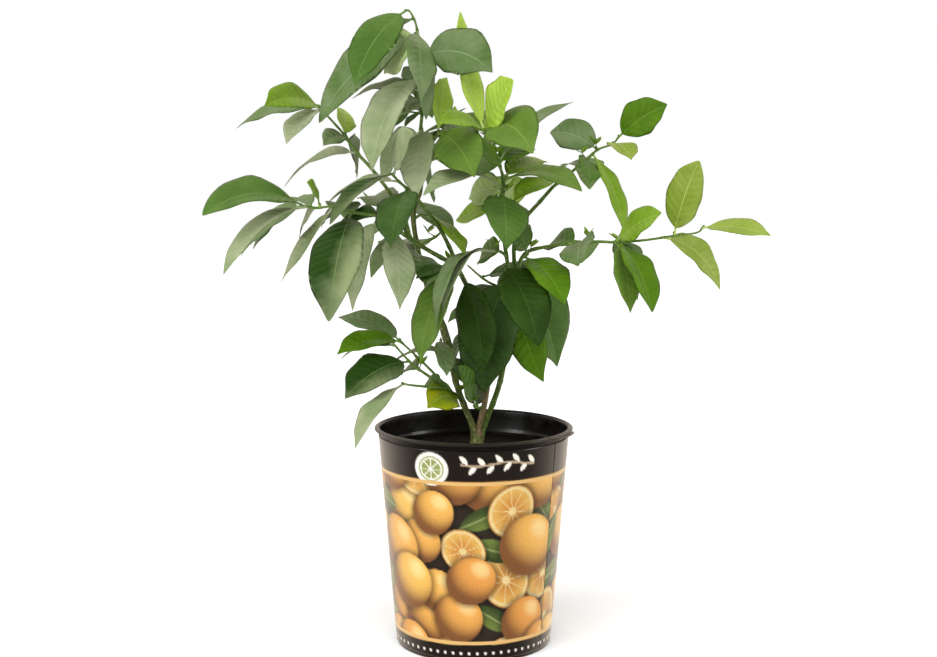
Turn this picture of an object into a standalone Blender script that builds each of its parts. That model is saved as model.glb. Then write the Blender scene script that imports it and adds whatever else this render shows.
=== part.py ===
"""A young lemon tree with three stems, standing in a printed nursery pot.

Lengths in the tables are millimetres and angles are degrees. +X is to the right, +Y points away from
the viewer and +Z is up. The origin is the middle of the pot's flat underside. A heading is measured from
+X towards +Y, so 270 points at the viewer, and a rise is measured up from level.
"""

import math
import random

import bmesh
import bpy
from mathutils import Vector
from mathutils.bvhtree import BVHTree

MM = 0.001
GAP = 0.3  # between pieces that touch on the real plant

# Pot
POT_HEIGHT = 190
POT_TOP_RADIUS = 82.2
POT_TAPER = 0.081  # radius lost per millimetre down the wall
POT_WALL = 1.6
POT_FLOOR = 2.5
LIP_RADIUS = 86
LIP_HEIGHT = 6
LIP_ROUNDING = 0.8
FOOT_CHAMFER = 1.5
DRAIN_HOLES = 6
DRAIN_RADIUS = 5
DRAIN_CIRCLE = 48
POT_STEPS = 48

# Printed wrap round the pot
WRAP_THICKNESS = 0.8
WRAP_FOOT = 3
WRAP_HEAD = POT_HEIGHT - LIP_HEIGHT - 1
WRAP_SEAM = -33  # degrees: its outer end lies to the right of the front
WRAP_OVERLAP = 7  # degrees that the outer end lies over the inner one
WRAP_RAMP = 10  # degrees over which the sheet climbs from one to the other
WRAP_STEPS = 46

# Soil
SOIL_LEVEL = 170
SOIL_EDGE_DROP = 2
SOIL_LEVEL_RADIUS = 30  # the soil is level this far out from the middle

# Limbs: the first point is inside the limb it grows from, and radii run from root to tip
TRUNK = {
    "points": [(3, 0, 170.3), (3, 0, 172.5), (3.2, 0, 178), (3.8, 0, 184), (4, 0, 188)],
    "radii": [7.4, 6.0, 5.3, 6.0, 8.0],
}
LIMBS = {
    "left_stem": {
        "points": [(-1, -1, 189.8), (-14, 3, 223), (-27, 12, 273), (-42, 18, 315),
                   (-52, 21, 366), (-46, 20, 392), (-43, 16, 418), (-44, 14, 438)],
        "radii": (2.9, 1.7),
        "from": [],
    },
    "middle_stem": {
        "points": [(5, -3, 189.6), (11, -6, 221), (10, -10, 257), (4, -12, 290), (-15, -12, 330)],
        "radii": (2.8, 2.0),
        "from": [],
    },
    "right_stem": {
        "points": [(9.5, 2, 189.8), (22, 4, 224), (29, 8, 259), (34, 10, 293), (36, 10, 319)],
        "radii": (2.6, 2.0),
        "from": [],
    },
    "west_bough": {
        "points": [(-14.5, -12, 329), (-38, -24, 343), (-57, -32, 356), (-64, -35, 362)],
        "radii": (1.9, 1.6),
        "from": ["middle_stem"],
    },
    "inner_west_bough": {
        "points": [(-14.5, -12, 329), (-20, -16, 344), (-31, -22, 365), (-50, -30, 390)],
        "radii": (1.8, 1.5),
        "from": ["middle_stem", "west_bough"],
    },
    "northwest_bough": {
        "points": [(-55, -31, 355), (-63, -5, 374), (-71, 8, 389), (-87, 22, 409), (-99, 34, 421)],
        "radii": (1.6, 1.4),
        "from": ["west_bough"],
    },
    "centre_bough": {
        "points": [(34, 10, 303), (30, 6, 324), (26, 2, 350), (24, -3, 372), (24, -5, 384)],
        "radii": (1.8, 1.5),
        "from": ["right_stem"],
    },
    "northeast_bough": {
        "points": [(36, 10, 318), (35, 16, 345), (42, 20, 364), (58, 28, 382), (69, 34, 394)],
        "radii": (1.8, 1.5),
        "from": ["right_stem"],
    },
    "east_bough": {
        "points": [(36, 10, 318), (41, 5, 334), (48, 1, 341), (63, -5, 345), (75, -10, 347)],
        "radii": (1.7, 1.4),
        "from": ["right_stem", "northeast_bough"],
    },
    "back_left_bough": {
        "points": [(-15, 4, 228), (-22, 30, 262), (-38, 58, 300), (-50, 80, 332)],
        "radii": (1.9, 1.5),
        "from": ["left_stem"],
    },
    "back_right_bough": {
        "points": [(26, 6, 243), (31, 36, 258), (38, 66, 268), (42, 88, 272)],
        "radii": (1.9, 1.5),
        "from": ["right_stem"],
    },
    "back_low_bough": {
        "points": [(9, -10, 262), (6, 20, 272), (0, 50, 276), (-2, 68, 274)],
        "radii": (1.6, 1.4),
        "from": ["middle_stem"],
    },
    "back_top_bough": {
        "points": [(26, 2, 351), (22, 30, 378), (13, 54, 404), (6, 68, 420)],
        "radii": (1.5, 1.3),
        "from": ["centre_bough"],
    },
}
LIMB_SIDES = 6
TRUNK_SIDES = 12
TWIG_SIDES = 4

# Foliage. Each twig is a path, and each of its leaves is a row:
# distance along the twig, heading, rise, length, width, roll about its own length, and arch if unusual.
USUAL_ARCH = 0.10
TWIG_RADII = (1.5, 0.9)
MASSES = {
    "inner_west_foliage": {
        "from": "inner_west_bough",
        "twigs": [[(-49.5, -29.8, 389.5), (-53, -31, 393), (-62, -34, 401), (-68, -37, 408)]],
        "leaves": [[
            (8, 260, -35, 78, 37, 15), (26, 225, -30, 78, 24, 0), (17, 145, -15, 82, 26, -20),
            (24, 290, 35, 62, 26, 95),
        ]],
        "fill": 0,
    },
    "top_foliage": {
        "from": "left_stem",
        "twigs": [[(-44, 14, 437), (-45, 13, 446), (-44, 12, 458), (-45, 10, 473), (-45, 6, 502),
                   (-48, 2, 529), (-53, 0, 541), (-57, 0, 543)]],
        "leaves": [[
            (110, 230, -45, 90, 35, -30), (88, 165, -40, 116, 44, -60), (90, 275, -45, 84, 31, -35),
            (91, 290, -57, 90, 26, -40, 0.08), (68, 340, -12, 66, 46, 62, 0.16), (86, 140, -38, 50, 42, -70, 0.05),
            (53, 235, -50, 104, 42, 0, 0.14), (39, 145, -4, 75, 24, -25), (30, 255, -12, 44, 22, -25),
            (22, 250, 5, 24, 9, -50), (21, 230, -30, 26, 9, -5), (5, 128, -35, 74, 31, -80),
            (7, 252, -42, 84, 33, 25),
            (60, 95, -20, 72, 30, 0), (30, 125, -25, 70, 30, 0), (100, 135, -30, 56, 24, 10),
        ]],
        "fill": 3,
    },
    "side_foliage": {
        "from": "left_stem",
        "twigs": [[(-43, 15.5, 424), (-35, 5, 435), (-28, -4, 442)]],
        "leaves": [[
            (27, 295, -26, 80, 42, 35), (27, 78, 56, 58, 24, 55), (27, 50, -5, 60, 24, 15),
            (6, 95, -40, 76, 33, -115),
        ]],
        "fill": 0,
    },
    "centre_foliage": {
        "from": "centre_bough",
        "twigs": [[(24, -5, 383), (25, -8, 401), (23, -10, 410), (19, -14, 422),
                   (13, -18, 435), (8, -20, 444)]],
        "leaves": [[
            (7, 272, -36, 74, 40, -15), (64, 297, -12, 84, 44, 42, 0.16), (18, 320, -5, 82, 28, 20, 0.14),
            (12, 220, -3, 86, 29, -15, 0.16), (20, 55, 10, 70, 27, 20), (63, 125, 70, 108, 29, 15, -0.08),
            (62, 295, 40, 66, 38, 95, 0.04), (35, 30, 34, 90, 25, 10), (64, 232, 6, 60, 24, -40),
            (60, 125, 20, 48, 20, -15), (31, 245, 15, 48, 26, -65), (33, 55, 15, 56, 26, 25),
            (9, 128, -10, 48, 31, -70), (14, 80, -20, 40, 20, 105), (4, 140, -20, 66, 26, -60, 0.0),
            (40, 95, -15, 76, 32, 0), (22, 75, -25, 74, 32, 0), (60, 90, 5, 70, 30, 0),
        ]],
        "fill": 0,
    },
    "west_foliage": {
        "from": "west_bough",
        "twigs": [[(-63.5, -34.8, 361.6), (-77, -42, 372), (-98, -48, 376), (-115, -52, 381),
                   (-129, -54, 380), (-140, -56, 382)]],
        "leaves": [[
            (84, 220, -3, 94, 38, -30, 0.14), (79, 225, -30, 100, 25, -5, 0.14), (83, 145, -32, 84, 24, -55),
            (84, 135, -30, 78, 24, -55), (43, 260, -47, 112, 44, 5), (18, 130, -12, 70, 25, -35),
            (59, 150, -50, 85, 24, -50, 0.01), (70, 250, 42, 32, 17, -70), (53, 120, -25, 42, 15, -65),
            (77, 115, 5, 45, 19, -10), (74, 120, -45, 38, 20, -60), (20, 130, -65, 90, 26, -95),
            (5, 278, -50, 84, 32, -30),
            (52, 92, -20, 72, 30, 0),
        ]],
        "fill": 1,
    },
    "northwest_foliage": {
        "from": "northwest_bough",
        "twigs": [[(-98.5, 33.6, 420.6), (-109, 40, 434), (-115, 42, 442), (-129, 48, 457), (-136, 50, 465)]],
        "leaves": [[
            (58, 235, 0, 72, 29, -50), (57, 160, -12, 85, 30, -30), (56, 240, -30, 60, 24, -5),
            (23, 95, 35, 40, 22, 40), (22, 245, -10, 40, 20, -35), (4, 145, -20, 90, 28, -25, 0.12),
            (20, 85, -35, 62, 32, 90),
        ]],
        "fill": 0,
    },
    "northeast_foliage": {
        "from": "northeast_bough",
        "twigs": [[(68.5, 33.8, 393.6), (96, 45, 415), (109, 50, 426), (122, 52, 431), (128, 54, 438)]],
        "leaves": [[
            (76, 345, 34, 52, 34, 75, 0.05), (68, 285, -15, 50, 26, 0), (54, 148, 18, 50, 32, -55),
            (48, 295, -50, 90, 22, -15), (41, 270, -25, 46, 25, -35), (31, 110, -5, 36, 14, -15),
            (8, 225, -15, 60, 23, -20),
            (44, 85, -30, 60, 26, 0),
        ]],
        "fill": 0,
    },
    "east_foliage": {
        "from": "east_bough",
        "twigs": [[(74.5, -9.8, 346.9), (102, -20, 350), (119, -25, 350), (142, -30, 352), (166, -35, 356),
                   (185, -38, 359), (189, -40, 364)]],
        "leaves": [[
            (121, 315, -3, 68, 20, 35, 0.05), (86, 30, -37, 78, 27, 65, 0.14), (96, 295, 60, 72, 32, 120, 0.05),
            (47, 310, 27, 58, 29, 65, 0.05), (50, 295, -45, 76, 31, -10), (48, 282, -55, 68, 25, -15),
            (48, 55, -55, 64, 22, 90), (16, 265, -15, 58, 34, 30), (13, 120, -10, 48, 28, -40),
            (20, 88, -20, 66, 28, 0), (52, 75, -30, 60, 26, 0),
        ]],
        "fill": 0,
    },
    "front_foliage": {
        "from": "centre_bough",
        "twigs": [[(31, 7, 316), (29, -6, 322), (25, -16, 331)]],
        "leaves": [[
            (28, 292, -40, 94, 40, 18), (10, 218, -74, 102, 50, -45), (12, 42, -55, 104, 58, 90),
            (4, 325, -78, 94, 34, 50, -0.04),
        ]],
        "fill": 0,
    },
    "right_foliage": {
        "from": "east_bough",
        "twigs": [[(46, 2.3, 339.3), (45, -3, 337.5), (43, -8, 335)]],
        "leaves": [[(10, 295, -25, 78, 34, 5), (4, 250, 32, 46, 24, -120)]],
        "fill": 0,
    },
    "middle_foliage": {
        "from": "centre_bough",
        "twigs": [[(28, 4, 336), (22, -8, 341), (16, -16, 341)]],
        "leaves": [[
            (18, 230, -40, 102, 24, 15, 0.3), (20, 230, -30, 84, 22, 15, 0.25), (12, 115, -15, 46, 28, -60),
        ]],
        "fill": 0,
    },
    "fork_foliage": {
        "from": "middle_stem",
        "twigs": [[(-9, -12, 318), (-12, -22, 325), (-18, -28, 329)]],
        "leaves": [[
            (8, 315, -74, 86, 38, 75), (21, 236, -52, 86, 34, 0), (20, 120, -45, 76, 32, -70),
            (16, 238, -6, 46, 18, -15),
        ]],
        "fill": 0,
    },
    "left_foliage": {
        "from": "left_stem",
        "twigs": [[(-44, 18.5, 324), (-46, 10, 333), (-47, -2, 340)]],
        "leaves": [[
            (21, 225, -13, 68, 24, -5, 0.25), (22, 275, -20, 56, 34, -25), (9, 240, -10, 42, 15, -5),
        ]],
        "fill": 0,
    },
    "upper_left_foliage": {
        "from": "left_stem",
        "twigs": [[(-52, 21, 367), (-45, 12, 371), (-38, 6, 370)]],
        "leaves": [[(20, 300, -25, 68, 31, -10)]],
        "fill": 0,
    },
    "lower_left_foliage": {
        "from": "left_stem",
        "twigs": [
            [(-9, 1, 210), (-15, -9, 218), (-20, -16, 223), (-35, -28, 241), (-47, -34, 254),
             (-62, -40, 269)],
            [(-20, -16, 223), (-41, -38, 241), (-51, -48, 250), (-67, -60, 270)],
            [(-23, -19, 225), (-43, -50, 232), (-53, -62, 235), (-59, -66, 237)],
        ],
        "leaves": [
            [(9, 240, -2, 52, 32, -45), (89, 150, 15, 66, 25, -25), (89, 220, -4, 66, 24, -30),
             (36, 125, -15, 30, 15, -50)],
            [(56, 225, -18, 74, 35, -30), (76, 145, -15, 60, 22, -20), (43, 115, -15, 40, 20, -35)],
            [(59, 240, -30, 84, 27, 15)],
        ],
        "fill": 0,
    },
    "lower_middle_foliage": {
        "from": "left_stem",
        "twigs": [[(-20, 7.5, 247), (-25, -2, 254), (-28, -8, 263), (-28, -10, 268)]],
        "leaves": [[(8, 300, -35, 40, 18, 0), (27, 280, -40, 42, 20, -20), (12, 140, -15, 66, 18, -15)]],
        "fill": 0,
    },
    "base_foliage": {
        "from": "middle_stem",
        "twigs": [[(8, -4.5, 207), (3, -12, 207), (-1, -16, 210)]],
        "leaves": [[(12, 245, 50, 52, 26, -95, 0.04), (9, 95, 30, 50, 24, 50, 0.04)]],
        "fill": 0,
    },
}

# The far side of the crown follows one rule: side twigs and leaves step round their stem, within a ball
FAR_MASSES = {
    "back_left_foliage": {
        "from": "back_left_bough",
        "stem": [(-49.6, 79.2, 331), (-58, 92, 350), (-66, 102, 370)],
        "side_twigs": 3,
        "centre": (-78, 100, 360),
        "reach": 66,
    },
    "back_right_foliage": {
        "from": "back_right_bough",
        "stem": [(41.9, 87.4, 271.9), (42, 100, 282), (40, 114, 298)],
        "side_twigs": 3,
        "centre": (30, 104, 290),
        "reach": 66,
    },
    "back_low_foliage": {
        "from": "back_low_bough",
        "stem": [(-2, 67.4, 274), (-2, 80, 268), (2, 92, 262)],
        "side_twigs": 2,
        "centre": (8, 88, 250),
        "reach": 56,
    },
    "back_top_foliage": {
        "from": "back_top_bough",
        "stem": [(6.2, 67.6, 419.6), (0, 80, 436), (-6, 88, 452)],
        "side_twigs": 3,
        "centre": (-4, 88, 446),
        "reach": 62,
    },
}
LEAF_TURN = 144  # two fifths of a turn from each leaf to the next
LEAF_STEP = 12
FILL_STEP = 13
SIDE_TWIG_LENGTH = 46
SEED = 8

# What is tried where a leaf doesn't fit as its row says: turns of its heading, rise and roll
TURNS = [(0, 0, 0)] + [
    tuple(sign * angle if i == axis else 0 for i in range(3))
    for angle in (5, 10, 16, 24)
    for axis in (2, 0, 1)
    for sign in (1, -1)
]

# Leaf outline: how far along it, and half its width there as a share of the widest
LEAF_OUTLINE = ((0.0, 0.0), (0.1, 0.0), (0.36, 0.96), (0.69, 0.78))
PETIOLE_HALF_WIDTH = 0.9
LEAF_THICKNESS = 1.2
LEAF_FOLD = 0.22  # how far the edges stand above the midrib, as a share of the half width

COLOURS = {
    "pot": (0.012, 0.011, 0.010),
    "printed_wrap": (0.55, 0.30, 0.10),
    "soil": (0.03, 0.02, 0.014),
    "bark": (0.16, 0.15, 0.07),
    "foliage": (0.09, 0.22, 0.04),
}
ROUGHNESS = {"pot": 0.3, "printed_wrap": 0.35, "soil": 0.95, "bark": 0.75, "foliage": 0.45}


def millimetres(point):
    return Vector(point) * MM


def material(name):
    """One Principled material for each kind of surface."""
    made = bpy.data.materials.get(name) or bpy.data.materials.new(name)
    made.use_nodes = True
    shader = made.node_tree.nodes["Principled BSDF"]
    shader.inputs["Base Color"].default_value = (*COLOURS[name], 1)
    shader.inputs["Roughness"].default_value = ROUGHNESS[name]
    shader.inputs["Metallic"].default_value = 0
    return made


def new_collection(name):
    collection = bpy.data.collections.new(name)
    bpy.context.scene.collection.children.link(collection)
    return collection


def new_object(name, data, collection, surface):
    obj = bpy.data.objects.new(name, data)
    collection.objects.link(obj)
    if surface:
        obj.data.materials.clear()
        obj.data.materials.append(material(surface))
    return obj


def applied(obj):
    """Replaces the object's mesh by its evaluated one, and drops its modifiers."""
    bpy.context.view_layer.update()
    graph = bpy.context.evaluated_depsgraph_get()
    mesh = bpy.data.meshes.new_from_object(obj.evaluated_get(graph))
    obj.modifiers.clear()
    obj.data = mesh
    return obj


def welded(mesh):
    shape = bmesh.new()
    shape.from_mesh(mesh)
    bmesh.ops.remove_doubles(shape, verts=shape.verts, dist=0.00001)
    bmesh.ops.recalc_face_normals(shape, faces=shape.faces)
    shape.to_mesh(mesh)
    shape.free()
    return mesh


def turned(name, profile, steps, collection, surface):
    """A solid of revolution about Z. The profile runs down its outer side."""
    mesh = bpy.data.meshes.new(name)
    points = [millimetres((radius, 0, height)) for radius, height in profile]
    mesh.from_pydata(points, [(i, i + 1) for i in range(len(points) - 1)], [])
    obj = new_object(name, mesh, collection, surface)
    screw = obj.modifiers.new("turn", "SCREW")
    screw.steps = screw.render_steps = steps
    screw.use_merge_vertices = True
    screw.merge_threshold = 0.00001
    return applied(obj)


def cut(obj, cutters):
    for cutter in cutters:
        boolean = obj.modifiers.new("cut", "BOOLEAN")
        boolean.operation = "DIFFERENCE"
        boolean.solver = "EXACT"
        boolean.object = cutter
    return applied(obj)


def remove(objects):
    for obj in list(objects):
        bpy.data.objects.remove(obj)


def wall_radius(height):
    """Outer radius of the pot's wall at a height."""
    return POT_TOP_RADIUS - POT_TAPER * (POT_HEIGHT - height)


def make_pot(parts, cutters):
    """The black pot: a tapered wall with a rolled lip, and drain holes through its floor."""
    lip_foot = POT_HEIGHT - LIP_HEIGHT
    profile = [
        (0, POT_FLOOR),
        (wall_radius(POT_FLOOR) - POT_WALL, POT_FLOOR),
        (wall_radius(POT_HEIGHT) - POT_WALL, POT_HEIGHT - LIP_ROUNDING),
        (wall_radius(POT_HEIGHT) - POT_WALL + LIP_ROUNDING, POT_HEIGHT),
        (LIP_RADIUS - LIP_ROUNDING, POT_HEIGHT),
        (LIP_RADIUS, POT_HEIGHT - LIP_ROUNDING),
        (LIP_RADIUS, lip_foot + LIP_ROUNDING),
        (LIP_RADIUS - LIP_ROUNDING, lip_foot),
        (wall_radius(lip_foot), lip_foot),
        (wall_radius(FOOT_CHAMFER), FOOT_CHAMFER),
        (wall_radius(0) - FOOT_CHAMFER, 0),
        (0, 0),
    ]
    pot = turned("pot", profile, POT_STEPS, parts, "pot")
    drills = []
    for i in range(DRAIN_HOLES):
        angle = math.tau * i / DRAIN_HOLES
        place = millimetres((DRAIN_CIRCLE * math.cos(angle), DRAIN_CIRCLE * math.sin(angle), 0))
        bpy.ops.mesh.primitive_cylinder_add(vertices=16, radius=DRAIN_RADIUS * MM, depth=4 * POT_FLOOR * MM,
                                            location=place)
        drill = bpy.context.object
        for collection in list(drill.users_collection):
            collection.objects.unlink(drill)
        cutters.objects.link(drill)
        drills.append(drill)
    cut(pot, drills)
    remove(drills)
    return pot


def make_wrap(parts):
    """The printed wrap: one sheet rolled round the wall, whose outer end lies over its inner end."""
    step_out = WRAP_THICKNESS + GAP
    columns = WRAP_STEPS + 2
    turn = 360 + WRAP_OVERLAP
    mesh = bpy.data.meshes.new("printed_wrap")
    points = []
    for column in range(columns + 1):
        along = turn * column / columns
        lift = step_out * min(1, max(0, (along - 360 + WRAP_RAMP) / WRAP_RAMP))
        angle = math.radians(WRAP_SEAM - along)
        for height in (WRAP_FOOT, WRAP_HEAD):
            radius = wall_radius(height) + GAP + lift
            points.append(millimetres((radius * math.cos(angle), radius * math.sin(angle), height)))
    faces = [(2 * i, 2 * i + 1, 2 * i + 3, 2 * i + 2) for i in range(columns)]
    mesh.from_pydata(points, [], faces)
    wrap = new_object("printed_wrap", mesh, parts, "printed_wrap")
    shell = wrap.modifiers.new("thickness", "SOLIDIFY")
    shell.thickness = WRAP_THICKNESS * MM
    shell.offset = 1
    applied(wrap)
    welded(wrap.data)
    return wrap


def make_soil(parts):
    """The potting mix: it fills the pot to just under the rim, a little higher in the middle."""
    floor = POT_FLOOR + GAP
    edge = SOIL_LEVEL - SOIL_EDGE_DROP
    profile = [
        (0, SOIL_LEVEL),
        (SOIL_LEVEL_RADIUS, SOIL_LEVEL),
        (wall_radius(edge) - POT_WALL - GAP, edge),
        (wall_radius(floor) - POT_WALL - GAP, floor),
        (0, floor),
    ]
    return turned("soil", profile, POT_STEPS, parts, "soil")


def smooth_path(points, pieces=4):
    """Points read from a Catmull-Rom curve through the given ones."""
    points = [Vector(point) for point in points]
    path = []
    for i in range(len(points) - 1):
        before = points[max(i - 1, 0)]
        start = points[i]
        end = points[i + 1]
        after = points[min(i + 2, len(points) - 1)]
        for step in range(pieces):
            t = step / pieces
            bend = 2 * before - 5 * start + 4 * end - after
            twist = 3 * start - before - 3 * end + after
            path.append(start + 0.5 * ((end - before) * t + bend * t * t + twist * t * t * t))
    path.append(points[-1])
    return path


def tube(name, path, radii, sides, collection, surface=None):
    """A closed tapering tube along a path, made as a bevelled curve."""
    curve = bpy.data.curves.new(name, "CURVE")
    curve.dimensions = "3D"
    curve.bevel_depth = MM
    curve.bevel_resolution = (sides - 4) // 2
    curve.use_fill_caps = True
    spline = curve.splines.new("POLY")
    spline.points.add(len(path) - 1)
    for point, place, radius in zip(spline.points, path, radii):
        point.co = (*(place * MM), 1)
        point.radius = radius
    guide = bpy.data.objects.new(name + "_guide", curve)
    collection.objects.link(guide)
    bpy.context.view_layer.update()
    mesh = bpy.data.meshes.new_from_object(guide.evaluated_get(bpy.context.evaluated_depsgraph_get()))
    bpy.data.objects.remove(guide)
    return new_object(name, welded(mesh), collection, surface)


def tapered(radii, count):
    start, end = radii
    return [start + (end - start) * i / (count - 1) for i in range(count)]


def swollen(name, path, radii, sides, collection):
    """The same tube, larger by the gap all round: what cuts its neighbours clear."""
    path = list(path)
    path[0] = path[0] + (path[0] - path[1]).normalized() * GAP
    path[-1] = path[-1] + (path[-1] - path[-2]).normalized() * GAP
    obj = tube(name + "_clearance", path, [radius + 1.1 * GAP for radius in radii], sides, collection)
    obj.hide_render = True
    obj.display_type = "WIRE"
    return obj


def make_limbs(parts, cutters):
    """Trunk, stems and boughs, each cut 0.3 mm clear of the limb it grows from."""
    clearances = {}
    trunk_path = [Vector(point) for point in TRUNK["points"]]
    tube("trunk", trunk_path, TRUNK["radii"], TRUNK_SIDES, parts, "bark")
    clearances["trunk"] = swollen("trunk", trunk_path, TRUNK["radii"], TRUNK_SIDES, cutters)
    for name, limb in LIMBS.items():
        path = smooth_path(limb["points"], 3)
        radii = tapered(limb["radii"], len(path))
        bough = tube(name, path, radii, LIMB_SIDES, parts, "bark")
        if limb["from"]:
            cut(bough, [clearances[parent] for parent in limb["from"]])
        clearances[name] = swollen(name, path, radii, LIMB_SIDES, cutters)
    return clearances


def tree_of(meshes):
    """One search tree over the faces of some meshes."""
    points = []
    faces = []
    for mesh in meshes:
        first = len(points)
        points.extend(vertex.co.copy() for vertex in mesh.vertices)
        faces.extend([first + i for i in face.vertices] for face in mesh.polygons)
    return BVHTree.FromPolygons(points, faces)


def leaf_frame(heading, rise, roll):
    """The leaf's direction, the way it arches, and the way its upper face looks."""
    heading, rise, roll = (math.radians(angle) for angle in (heading, rise, roll))
    ahead = Vector((math.cos(heading) * math.cos(rise), math.sin(heading) * math.cos(rise), math.sin(rise)))
    lift = (Vector((0, 0, 1)) - ahead * ahead.z).normalized()
    face = lift * math.cos(roll) + ahead.cross(lift) * math.sin(roll)
    return ahead, lift, face


def leaf_mesh(root, row, swell=0.0, first_ring=0):
    """A folded, arched blade on a short stalk: four-cornered rings along its midrib, closed at the tip."""
    _, heading, rise, length, width, roll, *arch = row
    arch = arch[0] if arch else USUAL_ARCH
    ahead, lift, face = leaf_frame(heading, rise, roll)
    points = []
    for along, share in LEAF_OUTLINE[first_ring:]:
        centre = root + ahead * length * along + lift * length * arch * 4 * along * (1 - along)
        tangent = (ahead + lift * arch * 4 * (1 - 2 * along)).normalized()
        up = (face - tangent * face.dot(tangent)).normalized()
        across = tangent.cross(up)
        half = max(PETIOLE_HALF_WIDTH, share * width / 2) + swell
        edge = up * (half * LEAF_FOLD if share else 0)
        thick = up * (LEAF_THICKNESS / 2 + swell)
        side = across * half
        points += [centre - side + edge, centre + thick, centre + side + edge, centre - thick]
    points.append(root + ahead * (length + swell))
    rings = len(LEAF_OUTLINE) - first_ring
    faces = [(0, 1, 2, 3)]
    for ring in range(rings - 1):
        for corner in range(4):
            a = 4 * ring + corner
            b = 4 * ring + (corner + 1) % 4
            faces.append((a, a + 4, b + 4, b))
    last = 4 * (rings - 1)
    faces += [(last + corner, len(points) - 1, last + (corner + 1) % 4) for corner in range(4)]
    mesh = bpy.data.meshes.new("leaf")
    mesh.from_pydata([point * MM for point in points], [], faces)
    return mesh


def point_along(path, distance):
    """The place on a path at a distance from its start."""
    for start, end in zip(path, path[1:]):
        step = (end - start).length
        if distance <= step:
            return start + (end - start) * (distance / step)
        distance -= step
    return path[-1].copy()


def path_length(path):
    return sum((end - start).length for start, end in zip(path, path[1:]))


def touches(mesh, trees):
    tree = tree_of([mesh])
    return any(tree.overlap(other) for other in trees)


def in_space(point, space):
    """Whether a point lies in the ball that a mass keeps to, if it has one."""
    return not space or (point - Vector(space["centre"])).length <= space["reach"]


def fitted_leaf(root, row, blades, taken, space):
    """The leaf where its row puts it or turned a little, clear of other blades, or None."""
    for heading_turn, rise_turn, roll_turn in TURNS:
        at, heading, rise, length, width, roll, *arch = row
        tried = (at, heading + heading_turn, rise + rise_turn, length, width, roll + roll_turn, *arch)
        if not in_space(root + leaf_frame(tried[1], tried[2], 0)[0] * length, space):
            continue
        blade = leaf_mesh(root, tried, GAP, 2)
        whole = leaf_mesh(root, tried, GAP)
        if not touches(blade, blades) and not touches(whole, taken):
            return tried, leaf_mesh(root, tried), tree_of([blade])
    return None


def far_side_rows(rng, length, first_heading):
    """Leaves for the side of a twig that faces away from the viewer."""
    rows = []
    heading = first_heading
    at = FILL_STEP * 0.6
    while at < length:
        if math.sin(math.radians(heading)) > 0.25:
            size = rng.uniform(52, 76)
            rows.append((at, heading + rng.uniform(-12, 12), rng.uniform(-35, 5), size,
                         size * rng.uniform(0.38, 0.46), rng.uniform(-25, 25)))
        heading += LEAF_TURN
        at += FILL_STEP
    return rows


def ruled_rows(rng, length, first_heading, start):
    """Leaves at even steps all round a twig."""
    rows = []
    heading = first_heading
    at = start
    while at < length:
        size = rng.uniform(58, 86)
        rows.append((at, heading + rng.uniform(-14, 14), rng.uniform(-45, 0), size,
                     size * rng.uniform(0.38, 0.48), rng.uniform(-25, 25)))
        heading += LEAF_TURN
        at += LEAF_STEP
    return rows


def side_twig(rng, stem, at, heading):
    """A short twig that leaves the stem at a place and curves upwards."""
    root = point_along(stem, at)
    turn = math.radians(heading)
    reach = SIDE_TWIG_LENGTH * rng.uniform(0.85, 1.15)
    out = Vector((math.cos(turn), math.sin(turn), 0)) * reach
    return smooth_path([root, root + out * 0.5 + Vector((0, 0, reach * 0.18)), root + out * 0.9
                        + Vector((0, 0, reach * 0.5))])


def joined(name, pieces, parts, surface):
    """One Boolean union of a list of closed meshes."""
    heap = new_collection(name + "_pieces")
    for piece in pieces[1:]:
        heap.objects.link(bpy.data.objects.new(name + "_piece", welded(piece)))
    mass = new_object(name, pieces[0], parts, surface)
    union = mass.modifiers.new("join", "BOOLEAN")
    union.operation = "UNION"
    union.operand_type = "COLLECTION"
    union.collection = heap
    union.solver = "EXACT"
    applied(mass)
    remove(heap.objects)
    bpy.data.collections.remove(heap)
    return mass


def largest_body(obj):
    """Drops any scrap that a cut left loose."""
    shape = bmesh.new()
    shape.from_mesh(obj.data)
    unseen = set(shape.verts)
    bodies = []
    while unseen:
        body = set()
        front = [unseen.pop()]
        while front:
            vertex = front.pop()
            body.add(vertex)
            for edge in vertex.link_edges:
                other = edge.other_vert(vertex)
                if other in unseen:
                    unseen.discard(other)
                    front.append(other)
        bodies.append(body)
    bodies.sort(key=len, reverse=True)
    for body in bodies[1:]:
        bmesh.ops.delete(shape, geom=list(body), context="VERTS")
    shape.to_mesh(obj.data)
    shape.free()


def twig_mesh(twig, swell=0.0):
    """A twig's tube, larger by swell all round."""
    radii = [radius + swell for radius in tapered(TWIG_RADII, len(twig))]
    holder = tube("twig", twig, radii, TWIG_SIDES, bpy.context.collection)
    mesh = holder.data
    bpy.data.objects.remove(holder)
    return mesh


def grow_mass(name, parent, twigs, taken, clearances, parts, space=None):
    """One mass: its twigs, each with the leaves that fit, joined in one and cut clear of its limb."""
    pieces = []
    blades = []
    for i, (twig, rows) in enumerate(twigs):
        if i and touches(twig_mesh(twig, GAP), taken):
            continue
        pieces.append(twig_mesh(twig))
        for row in rows:
            fitted = fitted_leaf(point_along(twig, row[0]), row, blades, taken, space)
            if fitted:
                pieces.append(fitted[1])
                blades.append(fitted[2])
    mass = joined(name, pieces, parts, "foliage")
    cut(mass, [clearances[parent]])
    largest_body(mass)
    return mass


def near_twigs(rng, mass):
    """The twigs and leaves that the viewer sees, with a few leaves on the side facing away."""
    twigs = [(smooth_path(points), list(rows)) for points, rows in zip(mass["twigs"], mass["leaves"])]
    path, rows = twigs[0]
    unseen = far_side_rows(rng, path_length(path), rng.uniform(0, 360))
    rows += unseen[: mass["fill"]]
    return twigs


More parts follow.
